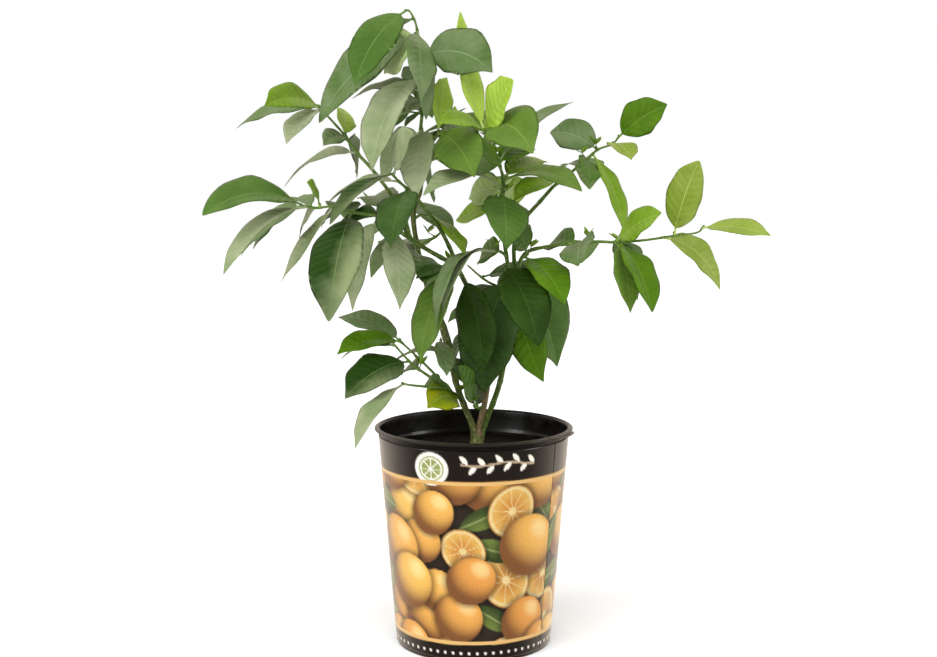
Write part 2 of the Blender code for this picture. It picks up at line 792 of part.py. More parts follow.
def far_twigs(rng, mass):
    """A stem with leaves and side twigs at even steps."""
    stem = smooth_path(mass["stem"])
    length = path_length(stem)
    twigs = [(stem, ruled_rows(rng, length, rng.uniform(0, 360), 4))]
    for i in range(mass["side_twigs"]):
        at = length * (i + 0.6) / mass["side_twigs"]
        twig = side_twig(rng, stem, at, 20 + i * LEAF_TURN / 2 + rng.uniform(-15, 15))
        twigs.append((twig, ruled_rows(rng, path_length(twig), rng.uniform(0, 360), LEAF_STEP)))
    return twigs


def make_foliage(parts, clearances, others):
    """The masses that the viewer sees, then those of the far side, each keeping clear of all before it."""
    taken = [tree_of([obj.data]) for obj in [*clearances.values(), *others]]
    rng = random.Random(SEED)
    for name, mass in MASSES.items():
        made = grow_mass(name, mass["from"], near_twigs(rng, mass), taken, clearances, parts)
        taken.append(tree_of([made.data]))
    for name, mass in FAR_MASSES.items():
        made = grow_mass(name, mass["from"], far_twigs(rng, mass), taken, clearances, parts, mass)
        taken.append(tree_of([made.data]))


def main():
    for obj in list(bpy.data.objects):
        bpy.data.objects.remove(obj)
    parts = new_collection("potted_lemon_tree")
    cutters = new_collection("cutters")
    pot = make_pot(parts, cutters)
    wrap = make_wrap(parts)
    soil = make_soil(parts)
    clearances = make_limbs(parts, cutters)
    make_foliage(parts, clearances, [pot, wrap, soil])
    for obj in parts.objects:
        obj.data.shade_smooth()
        obj.data.set_sharp_from_angle(angle=math.radians(35))


main()
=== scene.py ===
# %% [markdown]
# # A potted lemon tree, dressed piece by piece
# A young lemon tree with three stems stands in a black nursery pot with a printed wrap round it. The
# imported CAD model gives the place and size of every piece, so it is loaded first, as a frame that
# nothing moves. What follows makes finer surfaces over that frame. Lengths in the tables are
# millimetres and angles degrees. +X is to the right, +Y away from the viewer and +Z up, and the
# origin is the middle of the pot's underside.

import math
import random

import bpy
import numpy as np
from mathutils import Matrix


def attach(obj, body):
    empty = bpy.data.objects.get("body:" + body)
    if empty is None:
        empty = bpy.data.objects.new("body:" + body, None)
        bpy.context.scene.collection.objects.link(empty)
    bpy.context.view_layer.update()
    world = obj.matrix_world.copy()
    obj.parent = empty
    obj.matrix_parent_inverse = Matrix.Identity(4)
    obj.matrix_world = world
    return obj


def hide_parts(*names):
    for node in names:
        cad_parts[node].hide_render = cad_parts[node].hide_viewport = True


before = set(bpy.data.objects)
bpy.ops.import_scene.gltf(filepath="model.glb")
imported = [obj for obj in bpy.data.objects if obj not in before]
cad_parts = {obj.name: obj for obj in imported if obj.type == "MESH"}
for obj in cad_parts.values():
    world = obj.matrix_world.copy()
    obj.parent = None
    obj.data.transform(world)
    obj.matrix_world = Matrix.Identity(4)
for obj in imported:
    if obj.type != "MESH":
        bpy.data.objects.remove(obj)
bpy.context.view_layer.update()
print("CAD nodes:", len(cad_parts))

# %% [markdown]
# ## Tools for surfaces
# Every new piece here is a closed tube of some kind: a leaf is a flat tube, a stem a round one, and a
# pot's wall a tube bent into a ring. A modelling tool could make each by hand, but a formula gives
# the points of all rings as one numpy array, and the corners of the faces follow from counting. So
# one function lists the corners, and one puts arrays into a mesh.

# %% Arrays into meshes
MM = 0.001


def tube_corners(rings, width, sides=None):
    """Corners of a tube's faces, its points numbered ring by ring, with one last point for each end. A
    quad joins two neighbours on a ring to the same two on the next, and a fan closes each end. A ring
    with one side fewer than points has a seam, where its first and last point are the same place."""
    sides = sides or width
    ring, side = np.divmod(np.arange((rings - 1) * sides), sides)
    here = ring * width + side
    beside = ring * width + (side + 1) % width
    quads = np.stack([here, beside, beside + width, here + width], axis=1)
    around = np.arange(sides)
    onward = (around + 1) % width
    count = rings * width
    last = count - width
    start = np.stack([np.full(sides, count), onward, around], axis=1)
    end = np.stack([np.full(sides, count + 1), last + around, last + onward], axis=1)
    return quads, np.vstack([start, end])


def with_ends(rings):
    """The points of all rings, then the middle of the first ring and of the last."""
    first, last = rings[0].mean(axis=0), rings[-1].mean(axis=0)
    return np.vstack([rings.reshape(-1, rings.shape[-1]), first, last])


def joined_tubes(parts):
    """Several tubes' points, UV places, quads and ends as one tube's, each numbered after the last."""
    first = np.cumsum([0] + [len(points) for points, _, _, _ in parts])
    points, places, quads, ends = zip(*parts)
    return (np.vstack(points), np.vstack(places), np.vstack([q + n for q, n in zip(quads, first)]),
            np.vstack([e + n for e, n in zip(ends, first)]))


def new_piece(name, points, quads, triangles, finishes, finish_of=None, uv=None):
    """One smooth mesh object from arrays: points in millimetres, corners of quads and triangles, the
    number of each face's finish, and a UV place for each point in millimetres."""
    corners = np.concatenate([quads.ravel(), triangles.ravel()]).astype(np.int32)
    sizes = np.concatenate([np.full(len(quads), 4), np.full(len(triangles), 3)])
    mesh = bpy.data.meshes.new(name)
    mesh.vertices.add(len(points))
    mesh.vertices.foreach_set("co", (points * MM).astype(np.float32).ravel())
    mesh.loops.add(len(corners))
    mesh.loops.foreach_set("vertex_index", corners)
    mesh.polygons.add(len(sizes))
    mesh.polygons.foreach_set("loop_start", (np.cumsum(sizes) - sizes).astype(np.int32))
    mesh.polygons.foreach_set("use_smooth", np.ones(len(sizes), dtype=bool))
    for finish in finishes:
        mesh.materials.append(finish)
    if finish_of is not None:
        mesh.polygons.foreach_set("material_index", finish_of.astype(np.int32))
    if uv is not None:
        layer = mesh.uv_layers.new(name="surface_mm")
        layer.data.foreach_set("uv", uv[corners].astype(np.float32).ravel())
    mesh.update(calc_edges=True)
    piece = bpy.data.objects.new(name, mesh)
    bpy.context.scene.collection.objects.link(piece)
    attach(piece, "root")
    return piece


print("a tube of 3 rings of 4 points has", len(tube_corners(3, 4)[0]), "quads")

# %% Paths
def unit(vectors):
    """Each vector divided by its own length."""
    return vectors / np.linalg.norm(vectors, axis=-1, keepdims=True)


def smooth_path(points, pieces=4):
    """Points on a curve through the given ones. Each span is a cubic that passes its two ends in the
    direction of the line between their neighbours."""
    points = np.asarray(points, dtype=float)
    spans = np.arange(len(points) - 1)
    before = points[np.maximum(spans - 1, 0)][:, None]
    start = points[spans][:, None]
    end = points[spans + 1][:, None]
    after = points[np.minimum(spans + 2, len(points) - 1)][:, None]
    t = (np.arange(pieces) / pieces)[None, :, None]
    bend = 2 * before - 5 * start + 4 * end - after
    twist = 3 * start - before - 3 * end + after
    path = start + 0.5 * ((end - before) * t + bend * t ** 2 + twist * t ** 3)
    return np.vstack([path.reshape(-1, 3), points[-1]])


def distances(path):
    """How far along the path each of its points is."""
    return np.concatenate([[0], np.cumsum(np.linalg.norm(np.diff(path, axis=0), axis=1))])


def point_along(path, distance):
    """The place on a path at a distance from its start."""
    far = distances(path)
    return np.array([np.interp(distance, far, path[:, axis]) for axis in range(3)])


print("a quarter along a line of 8:", point_along(np.array([(0.0, 0, 0), (0, 0, 8)]), 2))

# %% [markdown]
# ## Tools for finishes
# Each finish is the Principled shader with a few nodes for its pattern. Colours are written as they
# are seen on a screen (sRGB), while Blender mixes light in linear values, so one function converts
# them. One helper adds a node with its settings and links, which keeps every recipe below short. The
# inputs of a Map Range node are, in order, the value, the two ends of its range and the two ends it
# is moved to.

# %% Colours and nodes
def linear(code):
    """A colour seen as #rrggbb in the linear values that light is worked out in: each channel as a
    share of 255, with the screen's curve undone."""
    seen = np.array([int(code[i:i + 2], 16) for i in (1, 3, 5)]) / 255
    values = np.where(seen <= 0.04045, seen / 12.92, ((seen + 0.055) / 1.055) ** 2.4)
    return (*values.tolist(), 1.0)


def feed(node, *values, **named):
    """Fills a node's inputs: values in order, named ones by name, with _ for a space. A socket is
    linked, and so is a node, by its first output in use. Anything else is set as a plain value."""
    for name, value in [*enumerate(values), *named.items()]:
        entry = node.inputs[name.replace("_", " ") if isinstance(name, str) else name]
        if isinstance(value, bpy.types.Node):
            value = next(output for output in value.outputs if output.enabled)
        if isinstance(value, bpy.types.NodeSocket):
            node.id_data.links.new(value, entry)
        else:
            entry.default_value = value


def add_node(tree, kind, *values, **named):
    """Adds a node. Names in small letters are its settings, and the rest goes to its inputs."""
    node = tree.nodes.new("ShaderNode" + kind)
    for name in [name for name in named if name.islower()]:
        setattr(node, name, named.pop(name))
    feed(node, *values, **named)
    return node


def new_finish(name, colour, roughness, **sockets):
    """A Principled material with its plain values set on the shader's own sockets."""
    finish = bpy.data.materials.new(name)
    finish.use_nodes = True
    shader = finish.node_tree.nodes["Principled BSDF"]
    feed(shader, Base_Color=linear(colour), Roughness=roughness, **sockets)
    return finish, finish.node_tree, shader


print("white is", linear("#ffffff"))

# %% [markdown]
# ## Camera, floor and light
# The photograph was taken a little over a metre away from just above the middle of the crown, looking
# slightly down, on a white studio sweep with broad soft light from above and the front left. The
# camera comes first, because every look at the render needs it. A very broad sun lights the white
# floor evenly out to the horizon, so floor and background run into one another, and area lights add
# the sheen on leaves that face them. The world gives less light than it shows. The room in front of
# the plant was dim and the sweep behind it bright, so what a glossy face mirrors depends on its
# direction: the pot's front stays black, and its edges and rim catch a white sheen. The floor ended
# close in front of the pot, so glossy faces don't see it.

# %% Camera and stage
FOCAL_PIXELS = 1593.6  # worked out from the pot's known proportions
IMAGE_WIDTH = 937
SENSOR_WIDTH = 36
LOOK_DOWN = 7.015
FLOOR_REACH = 6  # metres
FLOOR_GLOW = 0.15  # a little light of its own makes the floor the photo's overlit white

camera_data = bpy.data.cameras.new("camera")
camera_data.sensor_width = SENSOR_WIDTH
camera_data.lens = FOCAL_PIXELS * SENSOR_WIDTH / IMAGE_WIDTH
camera = bpy.data.objects.new("camera", camera_data)
camera.location = (-0.00445, -1.3576, 0.4412)
camera.rotation_euler = (math.radians(90 - LOOK_DOWN), 0, 0)
bpy.context.scene.collection.objects.link(camera)
bpy.context.scene.camera = camera

floor_mesh = bpy.data.meshes.new("floor")
floor_corners = [(-FLOOR_REACH, -FLOOR_REACH, 0), (FLOOR_REACH, -FLOOR_REACH, 0),
                 (FLOOR_REACH, FLOOR_REACH, 0), (-FLOOR_REACH, FLOOR_REACH, 0)]
floor_mesh.from_pydata(floor_corners, [], [(0, 1, 2, 3)])
floor = bpy.data.objects.new("floor", floor_mesh)
bpy.context.scene.collection.objects.link(floor)
floor_finish, _, _ = new_finish("lit_white_table", "#ffffff", 0.95, Emission_Color=(1, 1, 1, 1),
                                Emission_Strength=FLOOR_GLOW)
floor_mesh.materials.append(floor_finish)
floor.visible_glossy = False
print("lens", round(camera_data.lens, 1), "mm")

# %% What the studio shows and gives
ROOM_LIGHT = 0.4  # the light it gives, where what the camera sees is 1
DIM_FRONT = 0.15  # what a glossy face mirrors of the room in front
WALL_TINT = (1, 0.87, 0.74, 1)  # the studio's walls and wood tint what a glossy face mirrors

world = bpy.data.worlds.new("white_studio")
bpy.context.scene.world = world
world.use_nodes = True
tree = world.node_tree
rays = add_node(tree, "LightPath").outputs
way = add_node(tree, "TexCoord").outputs["Generated"]
depth = add_node(tree, "SeparateXYZ", way).outputs["Y"]
sweep = add_node(tree, "MapRange", depth, -0.3, 0.5, DIM_FRONT, 1.0)
mirrored = add_node(tree, "MapRange", rays["Is Glossy Ray"], To_Min=ROOM_LIGHT, To_Max=sweep)
strength = add_node(tree, "MapRange", rays["Is Camera Ray"], To_Min=mirrored, To_Max=1.0)
tint = add_node(tree, "Mix", Factor=rays["Is Glossy Ray"], A=(1, 1, 1, 1), B=WALL_TINT,
                data_type="RGBA")
feed(tree.nodes["Background"], Color=tint, Strength=strength)
print("room light:", ROOM_LIGHT)

# %% Lights
def light(name, kind, place, aim, power, **settings):
    """A light of a kind at a place, facing a point."""
    data = bpy.data.lights.new(name, kind)
    data.energy = power
    for setting, value in settings.items():
        setattr(data, setting, value)
    lamp = bpy.data.objects.new(name, data)
    back = unit(np.subtract(place, aim))
    lamp.location = place
    lamp.rotation_euler = (math.acos(back[2]), 0, math.atan2(back[1], back[0]) + math.pi / 2)
    bpy.context.scene.collection.objects.link(lamp)
    return lamp


broad_sun = light("broad_sun", "SUN", (-0.3, -1.2, 2.2), (0, 0, 0.3), 2.65, angle=math.radians(75))
broad_sun.visible_glossy = False  # so vast a source would lie over every glossy face as a grey veil
light("front_left_softbox", "AREA", (-1.5, -1.0, 0.9), (0, 0, 0.35), 10, shape="SQUARE", size=0.8)
light("right_softbox", "AREA", (1.6, -0.4, 0.8), (0, 0, 0.3), 5, shape="SQUARE", size=0.6)
bpy.context.scene.view_settings.view_transform = "Standard"

# %% [markdown]
# ## The pot
# The pot is black injection-moulded polypropylene, thin and slightly glossy, so it shows broad soft
# highlights and almost no colour. A lathe shape could come from the Screw modifier, but a profile
# carried round by a formula gives one closed mesh at once, fine enough that its edge shows no
# corners.

# %% Sizes of the pot
POT_HEIGHT = 190
POT_TOP_RADIUS = 82.2
POT_TAPER = 0.081  # radius lost per millimetre down the wall
POT_WALL = 1.6
POT_FLOOR = 2.5


def wall_radius(height):
    """Outer radius of the pot's wall at a height: it narrows evenly down from the top."""
    return POT_TOP_RADIUS - POT_TAPER * (POT_HEIGHT - height)


def inner_radius(height):
    """Inner radius of the pot's wall at a height."""
    return wall_radius(height) - POT_WALL


print("top radius", wall_radius(POT_HEIGHT), "foot radius", round(wall_radius(0), 1))

# %% Black plastic
pot_plastic, tree, shader = new_finish("black_moulded_polypropylene", "#0e0b07", 0.27,
                                       Specular_IOR_Level=0.5)
place = add_node(tree, "TexCoord").outputs["Object"]
# Moulded plastic has a fine orange peel, here 2 mm apart, and scuffs some 15 mm long that dull it
peel = add_node(tree, "TexNoise", place, Scale=1 / 0.002, Detail=2)
scuffs = add_node(tree, "TexNoise", place, Scale=1 / 0.015, Detail=5)
dulled = add_node(tree, "MapRange", scuffs, 0.35, 0.7, 0.22, 0.42)
relief = add_node(tree, "Bump", Height=peel, Strength=0.25, Distance=0.0002)
feed(shader, Roughness=dulled, Normal=relief)
print("made", pot_plastic.name)

# %% Wall of the pot
# The wall's outline runs up its inside, over the ledge and the top, and down its outside, as
# (radius, height).
TOP = inner_radius(POT_HEIGHT)
WALL_OUTLINE = np.array([
    (inner_radius(0), 0.6),
    *[(inner_radius(height), height) for height in (POT_FLOOR, 90, 150, 168, 169)],
    (inner_radius(170.5) - 0.2, 170.5), (inner_radius(171.5) + 0.5, 171.6),
    (inner_radius(173) + 0.6, 173), (TOP + 0.4, 183), (TOP + 0.4, 187.8), (TOP + 0.7, 188.9),
    (TOP + 1.2, 189.1), (TOP + 1.6, 188.6), (wall_radius(185), 187),
    *[(wall_radius(height), height) for height in (180, 150, 60, 1.6)],
    (wall_radius(0.5) - 0.5, 0.3), (wall_radius(0) - 1.3, 0),
])
WALL_STEPS = 160


def turned(name, outline, angles, finish, drift=0.0):
    """A closed outline carried round Z: x = radius cos angle, y = radius sin angle, z = height. Less
    than a whole turn is closed from its last ring to its first, and more ends in two caps. A drift
    moves each ring."""
    angle = np.radians(angles)[:, None]
    radius, height = np.moveaxis(np.repeat(outline[None], len(angles), axis=0) + drift, -1, 0)
    rings = np.stack([radius * np.cos(angle), radius * np.sin(angle), height], axis=-1)
    count, sides = rings.shape[:2]
    if angles[-1] - angles[0] < 360:
        quads, _ = tube_corners(count + 1, sides)
        no_ends = np.empty((0, 3), int)
        return new_piece(name, rings.reshape(-1, 3), quads % (count * sides), no_ends, [finish])
    return new_piece(name, with_ends(rings), *tube_corners(count, sides), [finish])


pot_wall = turned("pot_wall", WALL_OUTLINE, np.arange(WALL_STEPS) * 360 / WALL_STEPS, pot_plastic)
print("pot wall:", len(pot_wall.data.polygons), "faces")

# %% [markdown]
# ## The rim
# The real pot's lip is a strip rolled outwards. It goes once round and then lies over its own start
# on the right, where its end sits a little lower and further out. One outline carried round by more
# than a full turn gives that, with a drift that lets the end sink and move out.

# %% Rolled lip
LIP_RADIUS = 86
LIP_START = -42  # degrees: where the lip's end begins to lie over its start
LIP_TURN = 360 + 36
LIP_OUT = 1.5  # reached within 7 degrees
LIP_SINK = 3.0  # reached at its end
lip_inside = TOP + 1.0
LIP_FACE = [(0, 189.3), (0.3, 189.8), (0.9, 190), (1.6, 189.8)]  # out from its inside, and the height
LIP_ROLL = [(2.2, 189.3), (1.2, 189.2), (0.6, 188.9), (0.4, 188.4), (0.5, 187.8), (1.0, 187.5),
            (1.5, 187.7), (1.8, 188.1), (2.6, 188.4)]  # in from its outside, and the height
LIP_OUTLINE = np.array([(lip_inside + out, height) for out, height in LIP_FACE]
                       + [(LIP_RADIUS - back, height) for back, height in LIP_ROLL]
                       + [(lip_inside + 0.6, 188.6)])

# The lip's plastic is a lighter black than the wall's: a painted sheen, as where its rolled edge
# catches the light
lip_plastic, _, _ = new_finish("lip_polypropylene_painted_sheen", "#211c18", 0.32, Specular_IOR_Level=0.5)
turns = np.linspace(0, LIP_TURN, 201)
over = np.clip(turns - 360, 0, None)
lip_drift = np.stack([LIP_OUT * np.clip(over / 7, 0, 1), -LIP_SINK * over / (LIP_TURN - 360)], axis=-1)
pot_lip = turned("pot_lip", LIP_OUTLINE, LIP_START + turns, lip_plastic, lip_drift[:, None])
print("lip:", len(pot_lip.data.polygons), "faces")

# %% [markdown]
# ## The pot's floor
# Water drains through six holes near the pot's foot. Cutting them with a Boolean would leave long
# thin triangles. Instead the floor is six equal wedges with a hole in each, and a wedge is worked out
# as straight lines from the hole's circle to the wedge's own outline, once for each face of the
# floor.

# %% Floor with drain holes
DRAIN_HOLES = 6
DRAIN_RADIUS = 5
DRAIN_CIRCLE = 48
PLATE_RADIUS = 14  # the wedges end here, at a round plate
UNDERSIDE = 0.2
HOLE_STEPS = 48


def wedge_outline(angles):
    """Where a line from the hole's middle at each angle leaves the wedge: the first place on it that
    isn't within the two radial sides and the two arcs."""
    reach = np.linspace(0, 70, 400)[:, None]
    x, y = DRAIN_CIRCLE + reach * np.cos(angles), reach * np.sin(angles)
    radius = np.hypot(x, y)
    turn = np.degrees(np.abs(np.arctan2(y, x)))
    within = (turn <= 180 / DRAIN_HOLES) & (radius >= PLATE_RADIUS) & (radius <= wall_radius(0) - 1.5)
    left = np.argmin(within, axis=0), np.arange(len(angles))
    return np.stack([x[left], y[left]], axis=-1)


def at_height(outline, height):
    """The points of a flat outline at a height."""
    return np.column_stack([outline, np.full(len(outline), height)])


angles = (np.arange(HOLE_STEPS) + 0.5) * math.tau / HOLE_STEPS
circle = np.stack([np.cos(angles), np.sin(angles)], axis=-1)
hole = np.array([DRAIN_CIRCLE, 0]) + DRAIN_RADIUS * circle
edge = wedge_outline(angles)
section = [(hole, UNDERSIDE), (hole, POT_FLOOR), (edge, POT_FLOOR), (edge, UNDERSIDE)]
wedge = np.stack([at_height(*part) for part in section], axis=1).reshape(-1, 3)
wedge_quads = tube_corners(HOLE_STEPS + 1, len(section))[0] % len(wedge)
turns = math.tau * np.arange(DRAIN_HOLES) / DRAIN_HOLES
x, y, z = wedge.T
spins = zip(np.cos(turns), np.sin(turns))
wedges = [np.column_stack([x * c - y * s, x * s + y * c, z]) for c, s in spins]
rim = (PLATE_RADIUS + 0.4) * circle
plate = np.vstack([at_height(rim, UNDERSIDE), at_height(rim, POT_FLOOR),
                   (0, 0, UNDERSIDE), (0, 0, POT_FLOOR)])
plate_quads, plate_ends = tube_corners(2, HOLE_STEPS)
first = np.arange(DRAIN_HOLES + 1) * len(wedge)
floor_quads = np.vstack([wedge_quads + n for n in first[:-1]] + [plate_quads + first[-1]])
pot_floor = new_piece("pot_floor", np.vstack([*wedges, plate]), floor_quads, plate_ends + first[-1],
                      [pot_plastic])
for piece in (pot_wall, pot_lip, pot_floor):
    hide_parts("pot")
print("floor:", len(pot_floor.data.polygons), "faces")

# %% [markdown]
# ## The printed wrap
# A thin laminated print lies round the pot: a black band at the top and the foot, a gold line at
# each, and between them a picture of heaped fruit. A picture file isn't used here. The heap is worked
# out by a formula instead: seeded fruits, cut wheels and leaves are painted one over another into the
# colours of a fine grid, each with its own shading. The lines are drawn by the shader, because their
# edges are sharper than a grid's.

# %% Places on the wrap
WRAP_FOOT = 3
WRAP_HEAD = 183
WRAP_SEAM = -27  # degrees: it starts here, to the right of the front, and ends over its start
WRAP_TURN = 367
WRAP_THICKNESS = 0.45
WRAP_GAP = 0.1
WRAP_LIFT = 0.15  # how much further out its end lies
ROUND = math.tau * wall_radius(95) / 360  # millimetres of wrap for a degree, at mid height
COLUMNS = 620

along = np.linspace(0, WRAP_TURN, COLUMNS)
heights = np.linspace(WRAP_HEAD, WRAP_FOOT, 154)
sheet_x, sheet_y = np.meshgrid(along * ROUND, POT_HEIGHT - heights, indexing="ij")
print("sheet", round(WRAP_TURN * ROUND), "mm long,", WRAP_HEAD - WRAP_FOOT, "mm high")

# %% Paint on the sheet
def seen(code):
    """The same linear colour as an array of three."""
    return np.array(linear(code)[:3])


def smooth_step(low, high, values):
    """0 below low, 1 above high, and an even S between them."""
    t = np.clip((values - low) / (high - low), 0, 1)
    return t * t * (3 - 2 * t)


def mixed(first, second, share):
    """The first colour where the share is 0, the second where it is 1, and an even mix between."""
    return first + (second - first) * share


def painted(picture, colour, cover):
    """The colour laid over the picture where cover is 1."""
    return mixed(picture, colour, cover[..., None])


def local_places(centre, turn, wide, high):
    """Places on the sheet from a motif's middle, turned with it, as shares of its half sizes."""
    dx, dy = sheet_x - centre[0], sheet_y - centre[1]
    c, s = math.cos(turn), math.sin(turn)
    return (dx * c + dy * s) / wide, (dy * c - dx * s) / high


print("half way up the S:", smooth_step(0, 1, 0.5))

# %% Motifs
SHADOW = 0.62
FRUIT_LIGHT = (-0.38, -0.52, 0.76)  # the way towards it: along the sheet, down it, and out of it
WARMTH = (0.86, 1.08)
WHEEL_WEDGES = 10


def disc_cover(away):
    """1 within a round motif and 0 outside it."""
    return 1 - smooth_step(0.98, 1.02, away)


def leaf_cover(p, q, inner, outer):
    """1 within a pointed leaf and 0 outside it: its half width is a sine of the way along it."""
    edge = np.sin(np.clip((p + 1) / 2, 0, 1) * math.pi) ** 0.8
    return (1 - smooth_step(inner, outer, np.abs(q) - edge)) * (np.abs(p) < 1)


def pulp_cover(p, q, wedges, membrane, core, rind):
    """1 on the pulp of a cut wheel and 0 on the membranes between its wedges, its core and its rind.
    Each of these is a pair: where it ends and where the pulp begins, or the other way for the rind."""
    away = np.hypot(p, q)
    off = np.abs((np.arctan2(q, p) / math.tau * wedges) % 1 - 0.5) * 2
    cover = smooth_step(*membrane, (1 - off) * away) * smooth_step(*core, away)
    return cover * (1 - smooth_step(*rind, away))


def shadowed(picture, away):
    """The picture darkened close round a round motif."""
    return picture * (1 - SHADOW * (1 - smooth_step(0.95, 1.28, away)))[..., None]


def paint_fruit(picture, centre, size, turn, warm):
    """A round fruit, lit by how far it faces a light above it and towards the sheet's start."""
    away = np.hypot(*local_places(centre, turn, size * 1.06, size))
    dx, dy = (sheet_x - centre[0]) / size, (sheet_y - centre[1]) / size
    facing = np.sqrt(np.clip(1 - away ** 2, 0, 1))
    lit = np.clip(FRUIT_LIGHT[0] * dx + FRUIT_LIGHT[1] * dy + FRUIT_LIGHT[2] * facing, 0, 1)
    ripe = mixed(seen("#e6b654"), seen("#d8903a"), (warm - WARMTH[0]) / (WARMTH[1] - WARMTH[0]))
    peel = mixed(seen("#7a4a1e"), ripe, smooth_step(0.05, 0.95, lit)[..., None])
    peel = painted(peel, seen("#f0dc9c"), 0.6 * smooth_step(0.86, 1.04, lit))
    return painted(shadowed(picture, away), peel, disc_cover(away))


def paint_wheel(picture, centre, size, turn, warm):
    """A cut citrus wheel: peel, pale pith, and wedges of pulp parted by pale membranes."""
    p, q = local_places(centre, turn, size, size * 0.86)
    away = np.hypot(p, q)
    pulp = mixed(seen("#bd7d2c") * warm, seen("#d2a24c"), smooth_step(0.2, 0.85, away)[..., None])
    cover = pulp_cover(p, q, WHEEL_WEDGES, (0.0, 0.10), (0.12, 0.2), (0.80, 0.86))
    face = painted(seen("#d8c083"), pulp, cover)
    face = painted(face, seen("#b57a2e"), smooth_step(0.93, 0.97, away))
    return painted(shadowed(picture, away), face, disc_cover(away))


def paint_leaf(picture, centre, size, turn, warm):
    """A pointed leaf, darker on its one side, with a pale midrib."""
    p, q = local_places(centre, turn, size * 1.15, size * 0.46)
    green = mixed(seen("#2f4416"), seen("#66782e"), smooth_step(-1, 1, -q)[..., None])
    green = painted(green, seen("#8f9a58"), 1 - smooth_step(0.03, 0.1, np.abs(q)))
    return painted(picture, green, leaf_cover(p, q, -0.05, 0.05))


PAINTERS = (paint_fruit, paint_wheel, paint_leaf)
print("kinds of motif:", len(PAINTERS))

# %% Painted heap of fruit
HEAP_COLUMNS, HEAP_ROWS = 17, 6
STEP_X, STEP_Y = 32.0, 31.0
STRAY_X, STRAY_Y = 7, 6
HEAP_TOP = 30
SHARES = (0.74, 0.16, 0.1)  # of fruits, wheels and leaves
MOTIF_SIZES = (18, 27)

rng = np.random.default_rng(21)
picture = np.broadcast_to(seen("#2c2118"), (*sheet_x.shape, 3)).copy()
motifs = []
for row in range(HEAP_ROWS):
    for column in range(HEAP_COLUMNS):
        x = (column + 0.5 * (row % 2)) * STEP_X + rng.uniform(-STRAY_X, STRAY_X)
        y = HEAP_TOP + row * STEP_Y + rng.uniform(-STRAY_Y, STRAY_Y)
        kind = int(rng.choice(len(PAINTERS), p=SHARES))
        layer = rng.uniform()
        size, turn, warm = rng.uniform(*MOTIF_SIZES), rng.uniform(0, math.tau), rng.uniform(*WARMTH)
        motifs.append((layer, kind, (x, y), size, turn, warm))
for _, kind, *how in sorted(motifs):
    picture = PAINTERS[kind](picture, *how)
print("motifs:", len(motifs))

# %% [markdown]
# ## Marks on the black bands
# The bands carry plain pale marks of no maker's: a cream disc with a fruit wheel, a spray of small
# leaves beside it and a row of dots along the foot. They are painted into the same grid, over plain
# black.

# %% Bands and marks
UPPER_LINE = 33  # millimetres below the rim
LOWER_LINE = 174
LINE_WIDTH = 3
BLACK = seen("#170f08")
CREAM = seen("#e9e4d6")
DISC_RADIUS = 14
SPRAY_LEAVES = 9
SPRAY_STEP = 5.2  # degrees
DOT_STEP = 7.5
DOTS_BELOW = 181.5


def sheet_place(heading, below):
    """A heading, which is -90 in front, as millimetres along the sheet, with those below the rim."""
    return ((WRAP_SEAM - heading) % 360) * ROUND, below


def spray_stem(degrees):
    """How far below the rim the spray's stem is: a slow wave of the degrees along it."""
    return 18 + 1.5 * np.sin(degrees / SPRAY_STEP * 0.9)


upper, lower = (smooth_step(line - 0.5, line + 0.5, sheet_y) for line in (UPPER_LINE, LOWER_LINE))
picture = painted(picture, BLACK, 1 - upper * (1 - lower))

disc = sheet_place(-116, 23)
away = np.hypot(*local_places(disc, 0, DISC_RADIUS, DISC_RADIUS))
picture = painted(picture, seen("#f4f1e6"), 1 - smooth_step(0.96, 1.04, away))
p, q = local_places(disc, 0, 0.75 * DISC_RADIUS, 0.75 * DISC_RADIUS)
away = np.hypot(p, q)
rind = smooth_step(0.86, 0.92, away) * (1 - smooth_step(0.98, 1.06, away))
mark = np.maximum(pulp_cover(p, q, 8, (0.05, 0.16), (0.1, 0.2), (0.74, 0.82)), rind)
picture = painted(picture, seen("#8f9a52"), mark * (away < 1.1))

for i in range(SPRAY_LEAVES):
    side = 1 if i % 2 else -1
    leaf = sheet_place(-96 + i * SPRAY_STEP, spray_stem(i * SPRAY_STEP) + side * 3.6)
    p, q = local_places(leaf, side * 0.9 + math.pi, 4.6, 1.9)
    picture = painted(picture, CREAM, leaf_cover(p, q, -0.1, 0.15))
start, end = sheet_place(-98, 0)[0], sheet_place(-52, 0)[0]
off = np.abs(sheet_y - spray_stem((start - sheet_x) / ROUND))
stem = (1 - smooth_step(0.4, 1.1, off)) * ((sheet_x < start) & (sheet_x > end))
picture = painted(picture, seen("#b9a184"), stem)

off = np.abs((sheet_x / DOT_STEP) % 1 - 0.5) * DOT_STEP
picture = painted(picture, CREAM, 1 - smooth_step(0.9, 1.6, np.hypot(off, sheet_y - DOTS_BELOW)))
print("bands painted")

# %% Laminated print
wrap_print, tree, shader = new_finish("laminated_paper_print", "#c89050", 0.35, Specular_IOR_Level=0.5,
                                      Coat_Weight=0.8, Coat_Roughness=0.12)
colours = add_node(tree, "Attribute", attribute_name="print_colour")
sheet = add_node(tree, "UVMap", uv_map="surface_mm")
across = add_node(tree, "SeparateXYZ", sheet).outputs["Y"]
# Printed skin has pores about 1.2 mm apart, drawn as a faint mottle on the fruit
pores = add_node(tree, "TexNoise", sheet, Scale=1 / 1.2, Detail=2)
grain = add_node(tree, "MapRange", pores, 0.3, 0.7, 0.86, 1.12)
colour = add_node(tree, "VectorMath", colours, Scale=grain, operation="SCALE")
